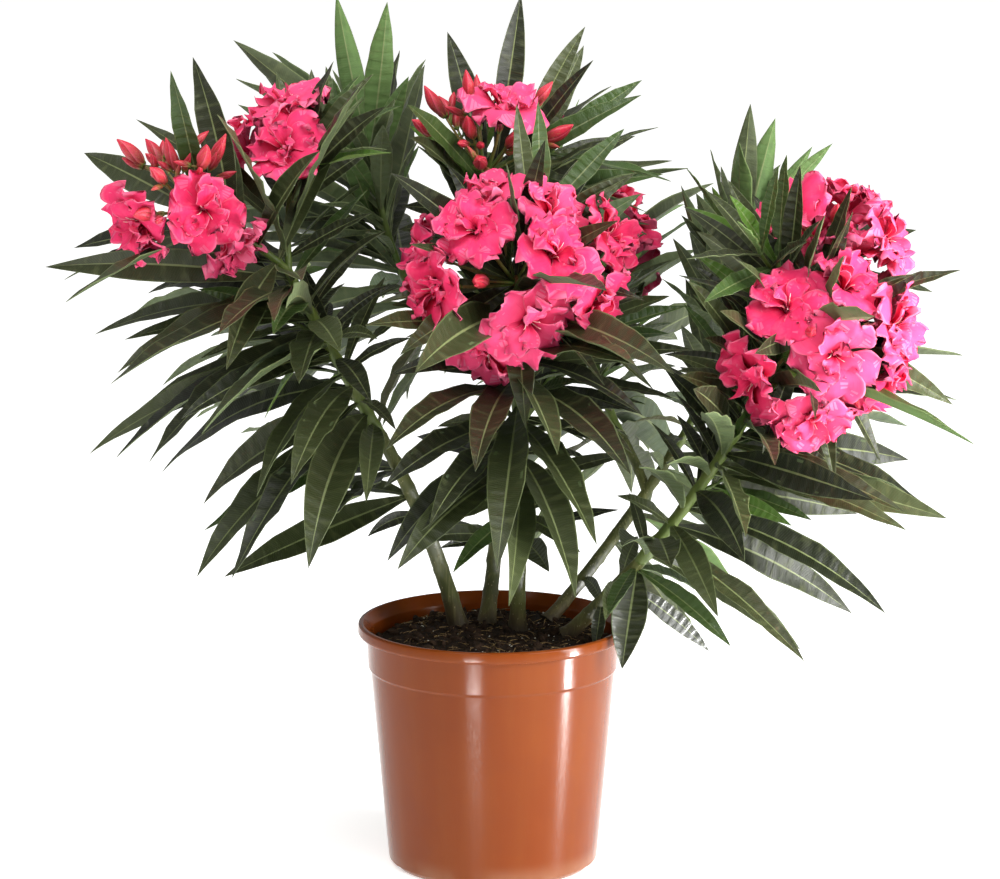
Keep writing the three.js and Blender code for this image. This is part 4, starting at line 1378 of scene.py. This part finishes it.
def shoot_finish():
    """Green shoots: smooth, with pale specks and browner patches."""
    finish = Finish("green shoot", Specular_IOR_Level=0.45)
    streak = finish.noise(finish.place((1, 1, 0.12)), 420)
    patch = finish.noise(finish.place(), 26, 3)
    colour = finish.ramp(patch, [(0.3, "42591f"), (0.55, "58682a"), (0.8, "645e34")])
    colour = finish.tint(colour, finish.range(streak, 0.55, 0.75), 0.35, "838b4c")
    finish.bump(streak, 0.0004, 0.6)
    return finish.done(colour, finish.range(streak, 0.2, 0.8, 0.4, 0.6))


BARK_TURNS_GREEN = (0.185, 0.215)  # heights in metres between which the bark goes from brown to green
SPLASHED_SOIL = (0.196, 0.184)  # heights between which soil begins to cling to a stem


def bark_finish(look):
    """Young smooth bark: brown at the soil, olive green higher up, with pale streaks and pores."""
    finish = Finish("oleander bark", Specular_IOR_Level=0.35)
    height = finish.height()
    streak = finish.noise(finish.place((1, 1, 0.09)), 520, 5)
    patch = finish.noise(finish.place((1, 1, 0.5)), 55)
    patchy = finish.range(patch, 0.35, 0.7)
    green = finish.blend(patchy, tuple(look.high_colour), "585c2b")
    brown = finish.blend(patchy, tuple(look.low_colour), "665638")
    level = height + (patch - 0.5) * 0.05
    colour = finish.blend(finish.range(level, *BARK_TURNS_GREEN), brown, green)
    colour = finish.tint(colour, finish.range(streak, 0.5, 0.72), 0.32, "8c875a")
    pores = finish.node("TexVoronoi", {"Vector": finish.place((1, 1, 0.6)), "Scale": 330.0}, "Distance")
    pore = finish.range(pores, 0.2, 0.08)
    colour = finish.tint(colour, pore, 0.4, "b3a67e")
    colour = finish.tint(colour, finish.range(height, *SPLASHED_SOIL), 0.7, "2c2118")
    finish.bump(streak + pore, 0.0005, 0.8)
    return finish.done(colour, finish.range(streak, 0.2, 0.8, 0.5, 0.75))


DUSTY_FOOT = (0.02, 0.0)  # heights in metres between which dust lies on the pot


def pot_finish(look):
    """Moulded plastic: even colour, faint flow streaks, a gloss with fine scuffs and dust at the foot."""
    finish = Finish("terracotta plastic", Specular_IOR_Level=0.16, Anisotropic=0.85)
    finish.feed(finish.shader.inputs["Tangent"], finish.node("CombineXYZ", {"Z": 1.0}))
    flow = finish.noise(finish.place((1, 1, 0.05)), 60)
    cloud = finish.noise(finish.place(), 14, 3)
    scuff = finish.noise(finish.place((1, 1, 0.3)), 700, 6, 0.7)
    colour = finish.blend(finish.range(flow, 0.35, 0.7), tuple(look.colour), "793a12")
    colour = finish.tint(colour, finish.range(cloud, 0.4, 0.7), 0.3, "6b2d0d")
    colour = finish.tint(colour, finish.range(scuff, 0.66, 0.8), 0.2, "c08260")
    dust = finish.range(finish.height(), *DUSTY_FOOT) * finish.range(cloud, 0.3, 0.6)
    colour = finish.tint(colour, dust, 0.35, "a98970")
    finish.bump(scuff + flow * 2.0, 0.00015, 0.25)
    return finish.done(colour, finish.range(scuff, 0.2, 0.85, 0.12, 0.2))


def soil_finish(name, dark, light):
    """Potting soil: near black, clumped, with lighter crumbs."""
    finish = Finish(name, Specular_IOR_Level=0.2)
    clump = finish.noise(finish.place(), 160, 6, 0.65)
    grain = finish.noise(finish.place(), 1400, 4, 0.7)
    colour = finish.ramp(clump, [(0.3, dark), (0.6, light), (0.8, "4a3626")])
    colour = finish.blend(finish.range(grain, 0.62, 0.75), colour, "6e553b")
    finish.bump(clump + grain * 0.5, 0.002)
    return finish.done(colour, finish.range(grain, 0.2, 0.8, 0.8, 1.0))


def litter_finish(name, dark, light):
    """Fibres and grit in the soil."""
    finish = Finish(name, Specular_IOR_Level=0.3)
    grain = finish.noise(finish.place(), 900, 4, 0.6)
    colour = finish.blend(finish.range(grain, 0.35, 0.65), dark, light)
    finish.bump(grain, 0.0004, 0.7)
    return finish.done(colour, finish.range(grain, 0.2, 0.8, 0.6, 0.9))


def stage_finish(look):
    """Matt white paper that shines a little of itself, so that the floor stays white."""
    glow = {"Emission_Color": (1, 1, 1, 1), "Emission_Strength": 0.6}
    finish = Finish("studio paper", Specular_IOR_Level=0.1, **glow)
    grain = finish.noise(finish.place(), 300, 3)
    colour = finish.blend(finish.range(grain, 0.3, 0.7), tuple(look.floor_colour), "fbfbfa")
    return finish.done(colour, 0.9)


# ---- The pot and its soil --------------------------------------------------------------------------


def face_outwards(bm):
    """Turns the faces of a closed body outwards, which the operator alone can miss on a bent one."""
    bmesh.ops.recalc_face_normals(bm, faces=bm.faces)
    if bm.calc_volume(signed=True) < 0:
        bmesh.ops.reverse_faces(bm, faces=bm.faces)


def spun(profile, steps, rounding=0.0, segments=3):
    """A closed body spun from a profile of radius and height, with its corners rounded first."""
    bm = bmesh.new()
    verts = [bm.verts.new((r * MM, 0, z * MM)) for r, z in profile]
    edges = [bm.edges.new(pair) for pair in zip(verts, verts[1:])]
    if rounding:
        corners = [v for v in verts if len(v.link_edges) == 2 and v.co.x > 0]
        bmesh.ops.bevel(
            bm, geom=corners, offset=rounding, offset_type="OFFSET", affect="VERTICES", segments=segments,
            profile=0.5, material=-1, clamp_overlap=True,
        )
        edges = list(bm.edges)
    bmesh.ops.spin(
        bm, geom=list(bm.verts) + edges, cent=(0, 0, 0), axis=(0, 0, 1), angle=2 * math.pi, steps=steps,
        use_merge=True,
    )
    bmesh.ops.remove_doubles(bm, verts=bm.verts, dist=1e-6)
    face_outwards(bm)
    return bm


def finished(bm, name, material, sharp=None):
    """Turns a bmesh into an object with smooth faces, its sharper edges kept."""
    for face in bm.faces:
        face.smooth = True
    if sharp:
        for edge in bm.edges:
            if len(edge.link_faces) == 2 and edge.calc_face_angle() > sharp:
                edge.smooth = False
    mesh = bpy.data.meshes.new(name)
    bm.to_mesh(mesh)
    bm.free()
    mesh.materials.append(material)
    return placed(name, mesh)


def pot_profile():
    p = POT
    outside = [
        (0, 0),
        (p["foot_radius"] - p["foot_chamfer"], 0),
        (p["foot_radius"], p["foot_chamfer"]),
        (p["body_top_radius"], BAND_FOOT - p["band_step"]),
        (p["band_radius"], BAND_FOOT + p["band_step"]),
        (p["band_radius"] + p["band_flare"], BAND_TOP),
        (p["rim_radius"] - p["rim_edge"] / 2, BAND_TOP),
        (p["rim_radius"], BAND_TOP + p["rim_edge"]),
        (p["rim_radius"] - p["rim_edge"] / 4, p["height"] - p["rim_edge"] / 2),
        (p["rim_radius"] - p["rim_edge"], p["height"]),
    ]
    inside = [
        (p["rim_radius"] - p["lip_wall"], p["height"]),
        (p["band_radius"] + p["band_step"] - p["wall"], BAND_TOP),
        (p["body_top_radius"] - p["wall"], SHOULDER),
        (p["foot_radius"] - p["wall"], p["foot_chamfer"] + p["floor"]),
        (p["foot_radius"] - p["wall"] - p["foot_chamfer"], p["floor"]),
        (0, p["floor"]),
    ]
    return outside + inside


def notch_cutter():
    """The blocks that cut the drain notches round the foot."""
    bm = bmesh.new()
    for i in range(POT["notches"]):
        turn = Matrix.Rotation(2 * math.pi * (i + 0.5) / POT["notches"], 4, "Z")
        shift = Matrix.Translation((POT["foot_radius"] * MM, 0, 0))
        size = Matrix.Diagonal(
            (2 * POT["notch_depth"] * MM, POT["notch_width"] * MM, 2 * POT["notch_height"] * MM, 1)
        )
        bmesh.ops.create_cube(bm, size=1, matrix=turn @ shift @ size)
    mesh = bpy.data.meshes.new("notches")
    bm.to_mesh(mesh)
    bm.free()
    return placed("notches", mesh)


def cut(piece, cutter):
    """Cuts one object from another and drops the cutter."""
    modifier = piece.modifiers.new("cut", "BOOLEAN")
    modifier.object = cutter
    modifier.operation = "DIFFERENCE"
    modifier.solver = "EXACT"
    settled(piece)
    bpy.data.objects.remove(cutter)


def settled(piece):
    """Makes a piece's modifiers part of its mesh."""
    seen = piece.evaluated_get(bpy.context.evaluated_depsgraph_get())
    mesh = bpy.data.meshes.new_from_object(seen)
    piece.modifiers.clear()
    piece.data = mesh


HEAP = {"height": 2.2, "radius": 16}  # of soil round each stem
LUMPS = ((1.9, 26), (1.3, 6))  # height and breadth of the soil's coarse and fine lumps
SETTLED = 1.2


def soil_height(x, y):
    """The height of the soil's surface in millimetres at a place on it."""
    radius = math.hypot(x, y)
    slope = max(0.0, radius - SOIL["crown_radius"]) / (POT["body_top_radius"] - SOIL["crown_radius"])
    base = mix(SOIL["crown_height"], SOIL["edge_height"], min(1.0, slope))
    heaps = 0.0
    for limb in LIMBS.values():
        if "from" in limb:
            away = math.hypot(x - limb["from"][0], y - limb["from"][1])
            heaps = max(heaps, HEAP["height"] * math.exp(-((away / HEAP["radius"]) ** 2)))
    spot = Vector((x, y, 3.0))
    lumps = sum(height * noise.fractal(spot / breadth, 1.0, 2.0, 3) for height, breadth in LUMPS)
    return base + heaps + lumps - SETTLED


SOIL_RINGS = 42


def soil_profile():
    in_foot = POT["foot_radius"] - POT["wall"] - GAP - SOIL["slack"]
    in_body = POT["body_top_radius"] - POT["wall"] - GAP - SOIL["slack"]
    under = [
        (0, POT["floor"] + GAP),
        (in_foot - POT["foot_chamfer"], POT["floor"] + GAP),
        (in_foot, POT["foot_chamfer"] + POT["floor"]),
        (in_body, SHOULDER),
    ]
    edge = in_body + SOIL["edge_spread"]
    top = [(edge * (1 - i / SOIL_RINGS), SOIL["edge_height"]) for i in range(SOIL_RINGS)]
    return under + top + [(0, SOIL["edge_height"])]


def soil_spot(rng, reach):
    """A place on the soil, all places within a reach being as likely."""
    radius = reach * math.sqrt(rng.random())
    angle = 2 * math.pi * rng.random()
    return radius * math.cos(angle), radius * math.sin(angle)


def scattered(name, material, count, seed, size, shape, subdivisions=1):
    """Many small lumps on the soil as one mesh: a rough ball, repeated, squashed and turned."""
    bm = bmesh.new()
    bmesh.ops.create_icosphere(bm, subdivisions=subdivisions, radius=1)
    ball = np.array([v.co for v in bm.verts])
    corners = np.array([[v.index for v in face.verts] for face in bm.faces])
    bm.free()
    rng = np.random.default_rng(seed)
    points, faces = [], []
    for i in range(count):
        x, y = soil_spot(rng, POT["band_radius"] - 8)
        scale = rng.uniform(*size) * rng.uniform(0.7, 1.3, 3) * shape
        bumps = 1 + rng.uniform(-0.22, 0.22, (len(ball), 1))
        turn = np.array(Matrix.Rotation(rng.uniform(0, 6.28), 3, rng.normal(size=3)))
        centre = np.array([x, y, soil_height(x, y) + 0.25 * scale.min()])
        points.append(((ball * bumps * scale) @ turn.T + centre) * MM)
        faces.append(corners + i * len(ball))
    mesh = bpy.data.meshes.new(name)
    mesh.from_pydata(np.concatenate(points), [], np.concatenate(faces))
    mesh.materials.append(material)
    return placed(name, mesh)


def fibre_sweeps(count, seed):
    """Thin bent fibres that lie in the soil's surface."""
    rng = np.random.default_rng(seed)
    sweeps = []
    for _ in range(count):
        x, y = soil_spot(rng, POT["band_radius"] - 14)
        way = 2 * math.pi * rng.random()
        length = rng.uniform(4, 15)
        half = np.array([math.cos(way), math.sin(way)]) * length / 2
        limit = POT["band_radius"] - 7
        ends = []
        for sign in (-1, 1):
            spot = np.array([x, y]) + sign * half
            spot *= min(1, limit / np.hypot(*spot))
            ends.append(np.array([*spot, soil_height(*spot) + rng.uniform(0.1, 1.6)]))
        astray = [rng.uniform(-3, 3), rng.uniform(-3, 3), rng.uniform(0.6, 3)]
        middle = np.array([x, y, soil_height(x, y)]) + astray
        thick = rng.uniform(0.18, 0.42)
        line = Curve(ends[0], middle, ends[1])
        sweeps.append(round_sweep(line, lambda t, r=thick: r * (1 - 0.5 * t), 4, 6))
    return sweeps


# ---- Limbs -----------------------------------------------------------------------------------------

LIMB_SIDES = 28
LIMB_STEP = 2.2  # millimetres from ring to ring
NODE_STEP = 24  # from one ring of leaf scars to the next


def limb_frames(line, count):
    """Turning frames along a curve, each as a matrix with Z along it."""
    side = square_to(vec((1, 0.2, 0)), line.along(0))
    for share in np.linspace(0, 1, count):
        ahead = line.along(share)
        side = square_to(side, ahead)
        other = cross(ahead, side)
        centre = line.at(share) * MM
        rows = np.column_stack([side, other, ahead, centre])
        yield share, Matrix([*rows, (0, 0, 0, 1)])


def scar_relief(distance, bearing, number):
    """How much a ring of leaf scars swells a limb, with its three cushions set round it."""
    step = distance / NODE_STEP
    away = abs(step - round(step)) * NODE_STEP
    cushions = 0.5 + 0.5 * math.cos(3 * bearing + 1.05 * round(step) + number)
    return math.exp(-((away / 2.1) ** 2)) * (0.25 + 0.75 * cushions**2)


SUNK = 3  # how deep a stem's foot goes into the soil


def limb_piece(name, limb, number, look, material):
    """A limb in bark: a ring extruded along its curve, with scars, ridges and a flared foot worked in."""
    rooted = "from" in limb
    line = bent(limb, -1)
    length = line.length()
    count = int(length / LIMB_STEP)
    bm = bmesh.new()
    share_layer = bm.verts.layers.float.new("share")
    ring = bmesh.ops.create_circle(bm, segments=LIMB_SIDES, radius=1)["verts"]
    edges = list({edge for vert in ring for edge in vert.link_edges})
    frames = list(limb_frames(line, count))
    bmesh.ops.transform(bm, matrix=frames[0][1], verts=ring)
    first_edges = edges
    for (_, before), (share, after) in zip(frames, frames[1:]):
        grown = bmesh.ops.extrude_edge_only(bm, edges=edges)["geom"]
        ring = [item for item in grown if isinstance(item, bmesh.types.BMVert)]
        edges = [item for item in grown if isinstance(item, bmesh.types.BMEdge)]
        edges = [edge for edge in edges if all(v in ring for v in edge.verts)]
        bmesh.ops.transform(bm, matrix=after @ before.inverted(), verts=ring)
        for vert in ring:
            vert[share_layer] = share
    bmesh.ops.contextual_create(bm, geom=first_edges)
    bmesh.ops.contextual_create(bm, geom=edges)
    matrices = {round(share, 6): matrix for share, matrix in frames}
    keys = sorted(matrices)
    for vert in bm.verts:
        share = min(keys, key=lambda key: abs(key - vert[share_layer]))
        local = matrices[share].inverted() @ vert.co
        bearing = math.atan2(local.y, local.x)
        flare = 1 + ROOT_FLARE * math.exp(-share * FLARE_FADE) if rooted else 1
        radius = mix(*limb["radii"], share) * flare
        spot = Vector((math.cos(bearing) * 2.2, math.sin(bearing) * 2.2, share * length / 9 + 7 * number))
        radius += look.relief / MM * (noise.noise(spot) + 0.5 * noise.noise(spot * 3.1))
        radius += look.scar / MM * scar_relief(share * length, bearing, number)
        direction = Vector((math.cos(bearing), math.sin(bearing), 0)) * radius * MM
        vert.co = matrices[share] @ direction
    if rooted:
        bmesh.ops.bisect_plane(
            bm, geom=bm.verts[:] + bm.edges[:] + bm.faces[:], plane_co=(0, 0, (GROUND - SUNK) * MM),
            plane_no=(0, 0, 1), clear_inner=True,
        )
        open_edges = [edge for edge in bm.edges if len(edge.link_faces) == 1]
        bmesh.ops.contextual_create(bm, geom=open_edges)
    face_outwards(bm)
    return finished(bm, name, material, math.radians(70))


# ---- What a user may change ------------------------------------------------------------------------


class PotLook(bpy.types.PropertyGroup):
    rounding: FloatProperty(
        name="Edge rounding", description="Radius of the pot's moulded edges", default=0.0007, unit="LENGTH"
    )
    steps: IntProperty(name="Steps", description="Faces round the pot", default=160, min=32, max=512)
    colour: FloatVectorProperty(
        name="Plastic", description="Colour of the pot",
        subtype="COLOR", size=4, default=rgb("77360f"), min=0, max=1,
    )


class SoilLook(bpy.types.PropertyGroup):
    steps: IntProperty(name="Steps", description="Faces round the soil", default=150, min=32, max=512)
    crumbs: IntProperty(name="Crumbs", description="Small crumbs on the soil", default=1900, min=0)
    clods: IntProperty(name="Clods", description="Larger lumps on the soil", default=170, min=0)
    fibres: IntProperty(name="Fibres", description="Fibres in the soil", default=260, min=0)
    grit: IntProperty(name="Grit", description="White grains in the soil", default=110, min=0)


class LimbLook(bpy.types.PropertyGroup):
    relief: FloatProperty(name="Relief", description="Unevenness of the bark", default=0.00032, unit="LENGTH")
    scar: FloatProperty(name="Scars", description="Swelling at old leaf scars", default=0.0008, unit="LENGTH")
    low_colour: FloatVectorProperty(
        name="Low bark", description="Colour near the soil",
        subtype="COLOR", size=4, default=rgb("473f24"), min=0, max=1,
    )
    high_colour: FloatVectorProperty(
        name="High bark", description="Colour higher up",
        subtype="COLOR", size=4, default=rgb("3d431d"), min=0, max=1,
    )


class LeafLook(bpy.types.PropertyGroup):
    stations: IntProperty(name="Stations", description="Rings along a leaf", default=20, min=6, max=60)
    thickness: FloatProperty(
        name="Thickness", description="Thickness of a leaf", default=0.0006, unit="LENGTH"
    )
    fold: FloatProperty(name="Fold", description="Rise of a leaf's edges over its rib", default=0.3)
    wave: FloatProperty(name="Wave", description="Waviness of a leaf's edges", default=0.16)
    twist: FloatProperty(
        name="Twist", description="Turn of a leaf's tip about its rib", default=0.7, subtype="ANGLE"
    )
    rib_colour: FloatVectorProperty(
        name="Rib", description="Colour of a leaf's midrib",
        subtype="COLOR", size=4, default=rgb("808a5a"), min=0, max=1,
    )


class BloomLook(bpy.types.PropertyGroup):
    stations: IntProperty(name="Stations", description="Rings along a petal", default=13, min=6, max=40)
    thickness: FloatProperty(
        name="Thickness", description="Thickness of a petal", default=0.0004, unit="LENGTH"
    )
    ruffle: FloatProperty(
        name="Ruffle", description="Height of a petal's waves", default=0.005, unit="LENGTH"
    )
    ragged: FloatProperty(
        name="Ragged", description="How uneven a petal's end is", default=0.0024, unit="LENGTH"
    )
    curl: FloatProperty(
        name="Curl", description="How far a petal's end turns back", default=0.0025, unit="LENGTH"
    )
    throat_colour: FloatVectorProperty(
        name="Throat", description="Colour in a bloom's throat",
        subtype="COLOR", size=4, default=rgb("c41a48"), min=0, max=1,
    )


class StageLook(bpy.types.PropertyGroup):
    key: FloatProperty(name="Key light", description="Power of the main light", default=41.0, unit="POWER")
    top: FloatProperty(
        name="Top light", description="Power of the soft light overhead", default=68.0, unit="POWER"
    )
    strip: FloatProperty(
        name="Strip light", description="Power of the narrow light by the pot", default=3.4, unit="POWER"
    )
    side: FloatProperty(
        name="Side light", description="Power of the light low on the right", default=15.5, unit="POWER"
    )
    fill: FloatProperty(
        name="Low fill", description="Power of the low light from the left", default=0.6, unit="POWER"
    )
    sky: FloatProperty(name="Ambient", description="Strength of the light all round", default=0.42)
    floor_colour: FloatVectorProperty(
        name="Floor", description="Colour of the floor",
        subtype="COLOR", size=4, default=rgb("f6f6f5"), min=0, max=1,
    )


LOOKS = {
    "pot": PotLook,
    "soil": SoilLook,
    "limb": LimbLook,
    "leaf": LeafLook,
    "bloom": BloomLook,
    "stage": StageLook,
}


def look(context, name):
    """The settings of one kind of piece."""
    return getattr(context.scene, f"oleander_{name}")


# ---- Operators -------------------------------------------------------------------------------------

GROWN = {}


def grown(name):
    """The growth of a mass, worked out once."""
    if name not in GROWN:
        GROWN[name] = grow(name, list(MASSES).index(name))
    return GROWN[name]


class OLEANDER_OT_pot(bpy.types.Operator):
    """Builds the moulded pot with its rim, band and drain notches"""

    bl_idname = "oleander.pot"
    bl_label = "Pot"

    def execute(self, context):
        pot = look(context, "pot")
        bm = spun(pot_profile(), pot.steps, pot.rounding)
        piece = finished(bm, "pot_shell", pot_finish(pot))
        cut(piece, notch_cutter())
        mark_sharp(piece, 32)
        seat(piece, "pot", "pot")
        return {"FINISHED"}


def mark_sharp(piece, degrees):
    """Keeps the edges of a smooth piece that bend more than an angle."""
    bm = bmesh.new()
    bm.from_mesh(piece.data)
    for edge in bm.edges:
        edge.smooth = len(edge.link_faces) != 2 or edge.calc_face_angle() < math.radians(degrees)
    for face in bm.faces:
        face.smooth = True
    bm.to_mesh(piece.data)
    bm.free()


class OLEANDER_OT_soil(bpy.types.Operator):
    """Builds the soil with its clods, crumbs, fibres and grit"""

    bl_idname = "oleander.soil"
    bl_label = "Soil"

    def execute(self, context):
        soil = look(context, "soil")
        earth = soil_finish("potting soil", "140e0a", "2a1e15")
        bm = spun(soil_profile(), soil.steps)
        for vert in bm.verts:
            if vert.co.z > (SOIL["edge_height"] - 1) * MM:
                vert.co.z = soil_height(vert.co.x / MM, vert.co.y / MM) * MM
        seat(finished(bm, "soil_bed", earth), "soil", "soil")
        crumbs = soil_finish("soil crumbs", "1b130d", "38281c")
        seat(scattered("soil_crumbs", crumbs, soil.crumbs, 11, (0.5, 1.7), (1, 1, 0.8)), "soil")
        seat(scattered("soil_clods", crumbs, soil.clods, 12, (1.8, 4.2), (1, 0.8, 0.6), 2), "soil")
        fibre = litter_finish("plant fibre", "5d472d", "a3875b")
        seat(joined_sweeps("soil_fibres", fibre_sweeps(soil.fibres, 13), fibre), "soil")
        grit = litter_finish("white grit", "b9b4a6", "f0ede4")
        seat(scattered("soil_grit", grit, soil.grit, 14, (0.4, 0.95), (1, 1, 0.9)), "soil")
        return {"FINISHED"}


class OLEANDER_OT_limbs(bpy.types.Operator):
    """Builds the stems and boughs with their bark"""

    bl_idname = "oleander.limbs"
    bl_label = "Stems and boughs"

    def execute(self, context):
        limb_look = look(context, "limb")
        bark = bark_finish(limb_look)
        for number, (name, limb) in enumerate(LIMBS.items()):
            seat(limb_piece(f"bark_{name}", limb, number, limb_look, bark), "bark", name)
        return {"FINISHED"}


def shoot_sweep(shoot, sides, stations):
    """A leafy shoot, a little swollen at each whorl."""
    line = bent(shoot, -1)
    nodes = (np.arange(shoot["whorls"]) + 0.6) / shoot["whorls"]

    def radius_at(t):
        swelling = 0.16 * np.exp(-(((t - nodes) * line.length() / 2.6) ** 2)).sum()
        return mix(*shoot["radii"], t) * (1 + swelling)

    return round_sweep(line, radius_at, sides, stations)


class OLEANDER_OT_shoots(bpy.types.Operator):
    """Builds the leafy shoots and fine twigs of every mass"""

    bl_idname = "oleander.shoots"
    bl_label = "Shoots and twigs"

    def execute(self, context):
        sweeps = []
        for name in MASSES:
            growth = grown(name)
            sweeps += [shoot_sweep(shoot, 14, 60) for shoot in growth.shoots]
            sweeps += [shoot_sweep(twig, 8, 18) for twig in growth.twigs]
        seat(joined_sweeps("green_shoots", sweeps, shoot_finish()), "foliage", *MASSES)
        return {"FINISHED"}


class OLEANDER_OT_leaves(bpy.types.Operator):
    """Builds the leaves of every mass, each mass as one piece"""

    bl_idname = "oleander.leaves"
    bl_label = "Leaves"

    def execute(self, context):
        leaf_look = look(context, "leaf")
        finish = leaf_finish(leaf_look)
        number = 0
        for name in MASSES:
            sweeps = []
            strays = list(stray_leaves()) if name == STRAY_MASS else []
            for leaf in grown(name).leaves + strays:
                sweeps.append(leaf_sweep(leaf, leaf_look, number))
                number += 1
            seat(joined_sweeps(name.replace("leaves", "foliage"), sweeps, finish), "foliage", name)
        return {"FINISHED"}


class OLEANDER_OT_blooms(bpy.types.Operator):
    """Builds the petals of every mass that flowers, each mass as one piece"""

    bl_idname = "oleander.blooms"
    bl_label = "Blooms"

    def execute(self, context):
        bloom_look = look(context, "bloom")
        finish = petal_finish(bloom_look)
        number = 0
        for name in MASSES:
            sweeps = []
            for part in grown(name).heads:
                for bloom in part.blooms:
                    sweeps += bloom_sweeps(bloom, bloom_look, number)
                    number += 1
            if sweeps:
                seat(joined_sweeps(name.replace("leaves", "petals"), sweeps, finish), "petals", name)
        return {"FINISHED"}


class OLEANDER_OT_buds(bpy.types.Operator):
    """Builds the stalks, tubes, calyces and buds of every flower head"""

    bl_idname = "oleander.buds"
    bl_label = "Buds and stalks"

    def execute(self, context):
        sweeps, nodes = [], []
        for index, name in enumerate(MASSES):
            heads = grown(name).heads
            blooms = [bloom for part in heads for bloom in part.blooms]
            for i, part in enumerate(heads):
                sweeps += head_sweeps(part, index * 10 + i, blooms)
                nodes.append(name)
        seat(joined_sweeps("buds_and_stalks", sweeps, head_finish()), "petals", *nodes)
        return {"FINISHED"}


# The camera stands in front of the plant, a little to its right and above it, and looks down at it.
CAMERA = {"at": (0.005665, -3.5, 1.05168), "down": 11.562, "lens": 166.815, "sensor": 36, "sees_to": 50}
FLOOR_RADIUS = 8
BEAM = 44  # degrees, for the narrow lights that only gleam on the pot
CROWN = (0, 0, 0.36)
POT_MIDDLE = (0, 0, 0.1)
LIGHTS = {
    "key": {"at": (1.9, -1.7, 1.7), "target": CROWN, "size": (1.2, 1.4)},
    "top": {"at": (-0.3, -0.8, 2.9), "target": CROWN, "size": (2.6, 1.8)},
    "side": {"at": (0.95, -0.42, 0.45), "target": POT_MIDDLE, "size": (0.3, 0.6)},
    "strip": {"at": (0.48, -0.2, 0.045), "target": POT_MIDDLE, "size": (0.022, 0.07), "gloss_only": True},
    "fill": {"at": (-0.12, -0.45, 0.045), "target": POT_MIDDLE, "size": (0.085, 0.07), "gloss_only": True},
}


def area_light(name, power, at, target, size, gloss_only=False):
    data = bpy.data.lights.new(name, "AREA")
    data.shape = "RECTANGLE"
    data.size, data.size_y = size
    data.energy = power
    data.spread = math.radians(BEAM if gloss_only else 180)
    lamp = bpy.data.objects.new(name, data)
    lamp.location = at
    lamp.visible_diffuse = not gloss_only
    lamp.rotation_euler = (Vector(target) - Vector(at)).to_track_quat("-Z", "Y").to_euler()
    bpy.context.scene.collection.objects.link(lamp)


class OLEANDER_OT_stage(bpy.types.Operator):
    """Sets the floor, lights and camera"""

    bl_idname = "oleander.stage"
    bl_label = "Stage"

    def execute(self, context):
        stage = look(context, "stage")
        bm = bmesh.new()
        bmesh.ops.create_circle(bm, cap_ends=True, radius=FLOOR_RADIUS, segments=96)
        floor = finished(bm, "floor", stage_finish(stage))
        for name, light in LIGHTS.items():
            area_light(name, getattr(stage, name), **light)
        world = bpy.data.worlds.new("studio")
        world.use_nodes = True
        sky = world.node_tree.nodes["Background"].inputs
        sky["Color"].default_value = (1, 1, 1, 1)
        sky["Strength"].default_value = stage.sky
        context.scene.world = world
        context.scene.view_settings.view_transform = "Standard"
        data = bpy.data.cameras.new("camera")
        data.lens = CAMERA["lens"]
        data.sensor_width = CAMERA["sensor"]
        data.clip_end = CAMERA["sees_to"]
        camera = bpy.data.objects.new("camera", data)
        camera.location = CAMERA["at"]
        camera.rotation_euler = (math.radians(90 - CAMERA["down"]), 0, 0)
        context.scene.collection.objects.link(camera)
        context.scene.camera = camera
        return {"FINISHED"}


OPERATORS = (
    OLEANDER_OT_pot,
    OLEANDER_OT_soil,
    OLEANDER_OT_limbs,
    OLEANDER_OT_shoots,
    OLEANDER_OT_leaves,
    OLEANDER_OT_blooms,
    OLEANDER_OT_buds,
    OLEANDER_OT_stage,
)


class OLEANDER_PT_panel(bpy.types.Panel):
    """Lists the looks and the pieces of the plant"""

    bl_label = "Potted oleander"
    bl_idname = "OLEANDER_PT_panel"
    bl_space_type = "VIEW_3D"
    bl_region_type = "UI"
    bl_category = "Oleander"

    def draw(self, context):
        for name, group in LOOKS.items():
            box = self.layout.box()
            box.label(text=name.capitalize())
            for prop in group.__annotations__:
                box.prop(look(context, name), prop)
        for operator in OPERATORS:
            self.layout.operator(operator.bl_idname)


def register():
    for name, group in LOOKS.items():
        bpy.utils.register_class(group)
        setattr(bpy.types.Scene, f"oleander_{name}", PointerProperty(type=group))
    for cls in (*OPERATORS, OLEANDER_PT_panel):
        bpy.utils.register_class(cls)


def unregister():
    for cls in (OLEANDER_PT_panel, *reversed(OPERATORS)):
        bpy.utils.unregister_class(cls)
    for name, group in LOOKS.items():
        delattr(bpy.types.Scene, f"oleander_{name}")
        bpy.utils.unregister_class(group)


def main():
    register()
    for operator in OPERATORS:
        getattr(bpy.ops.oleander, operator.bl_idname.split(".")[1])()


if __name__ == "__main__":
    main()
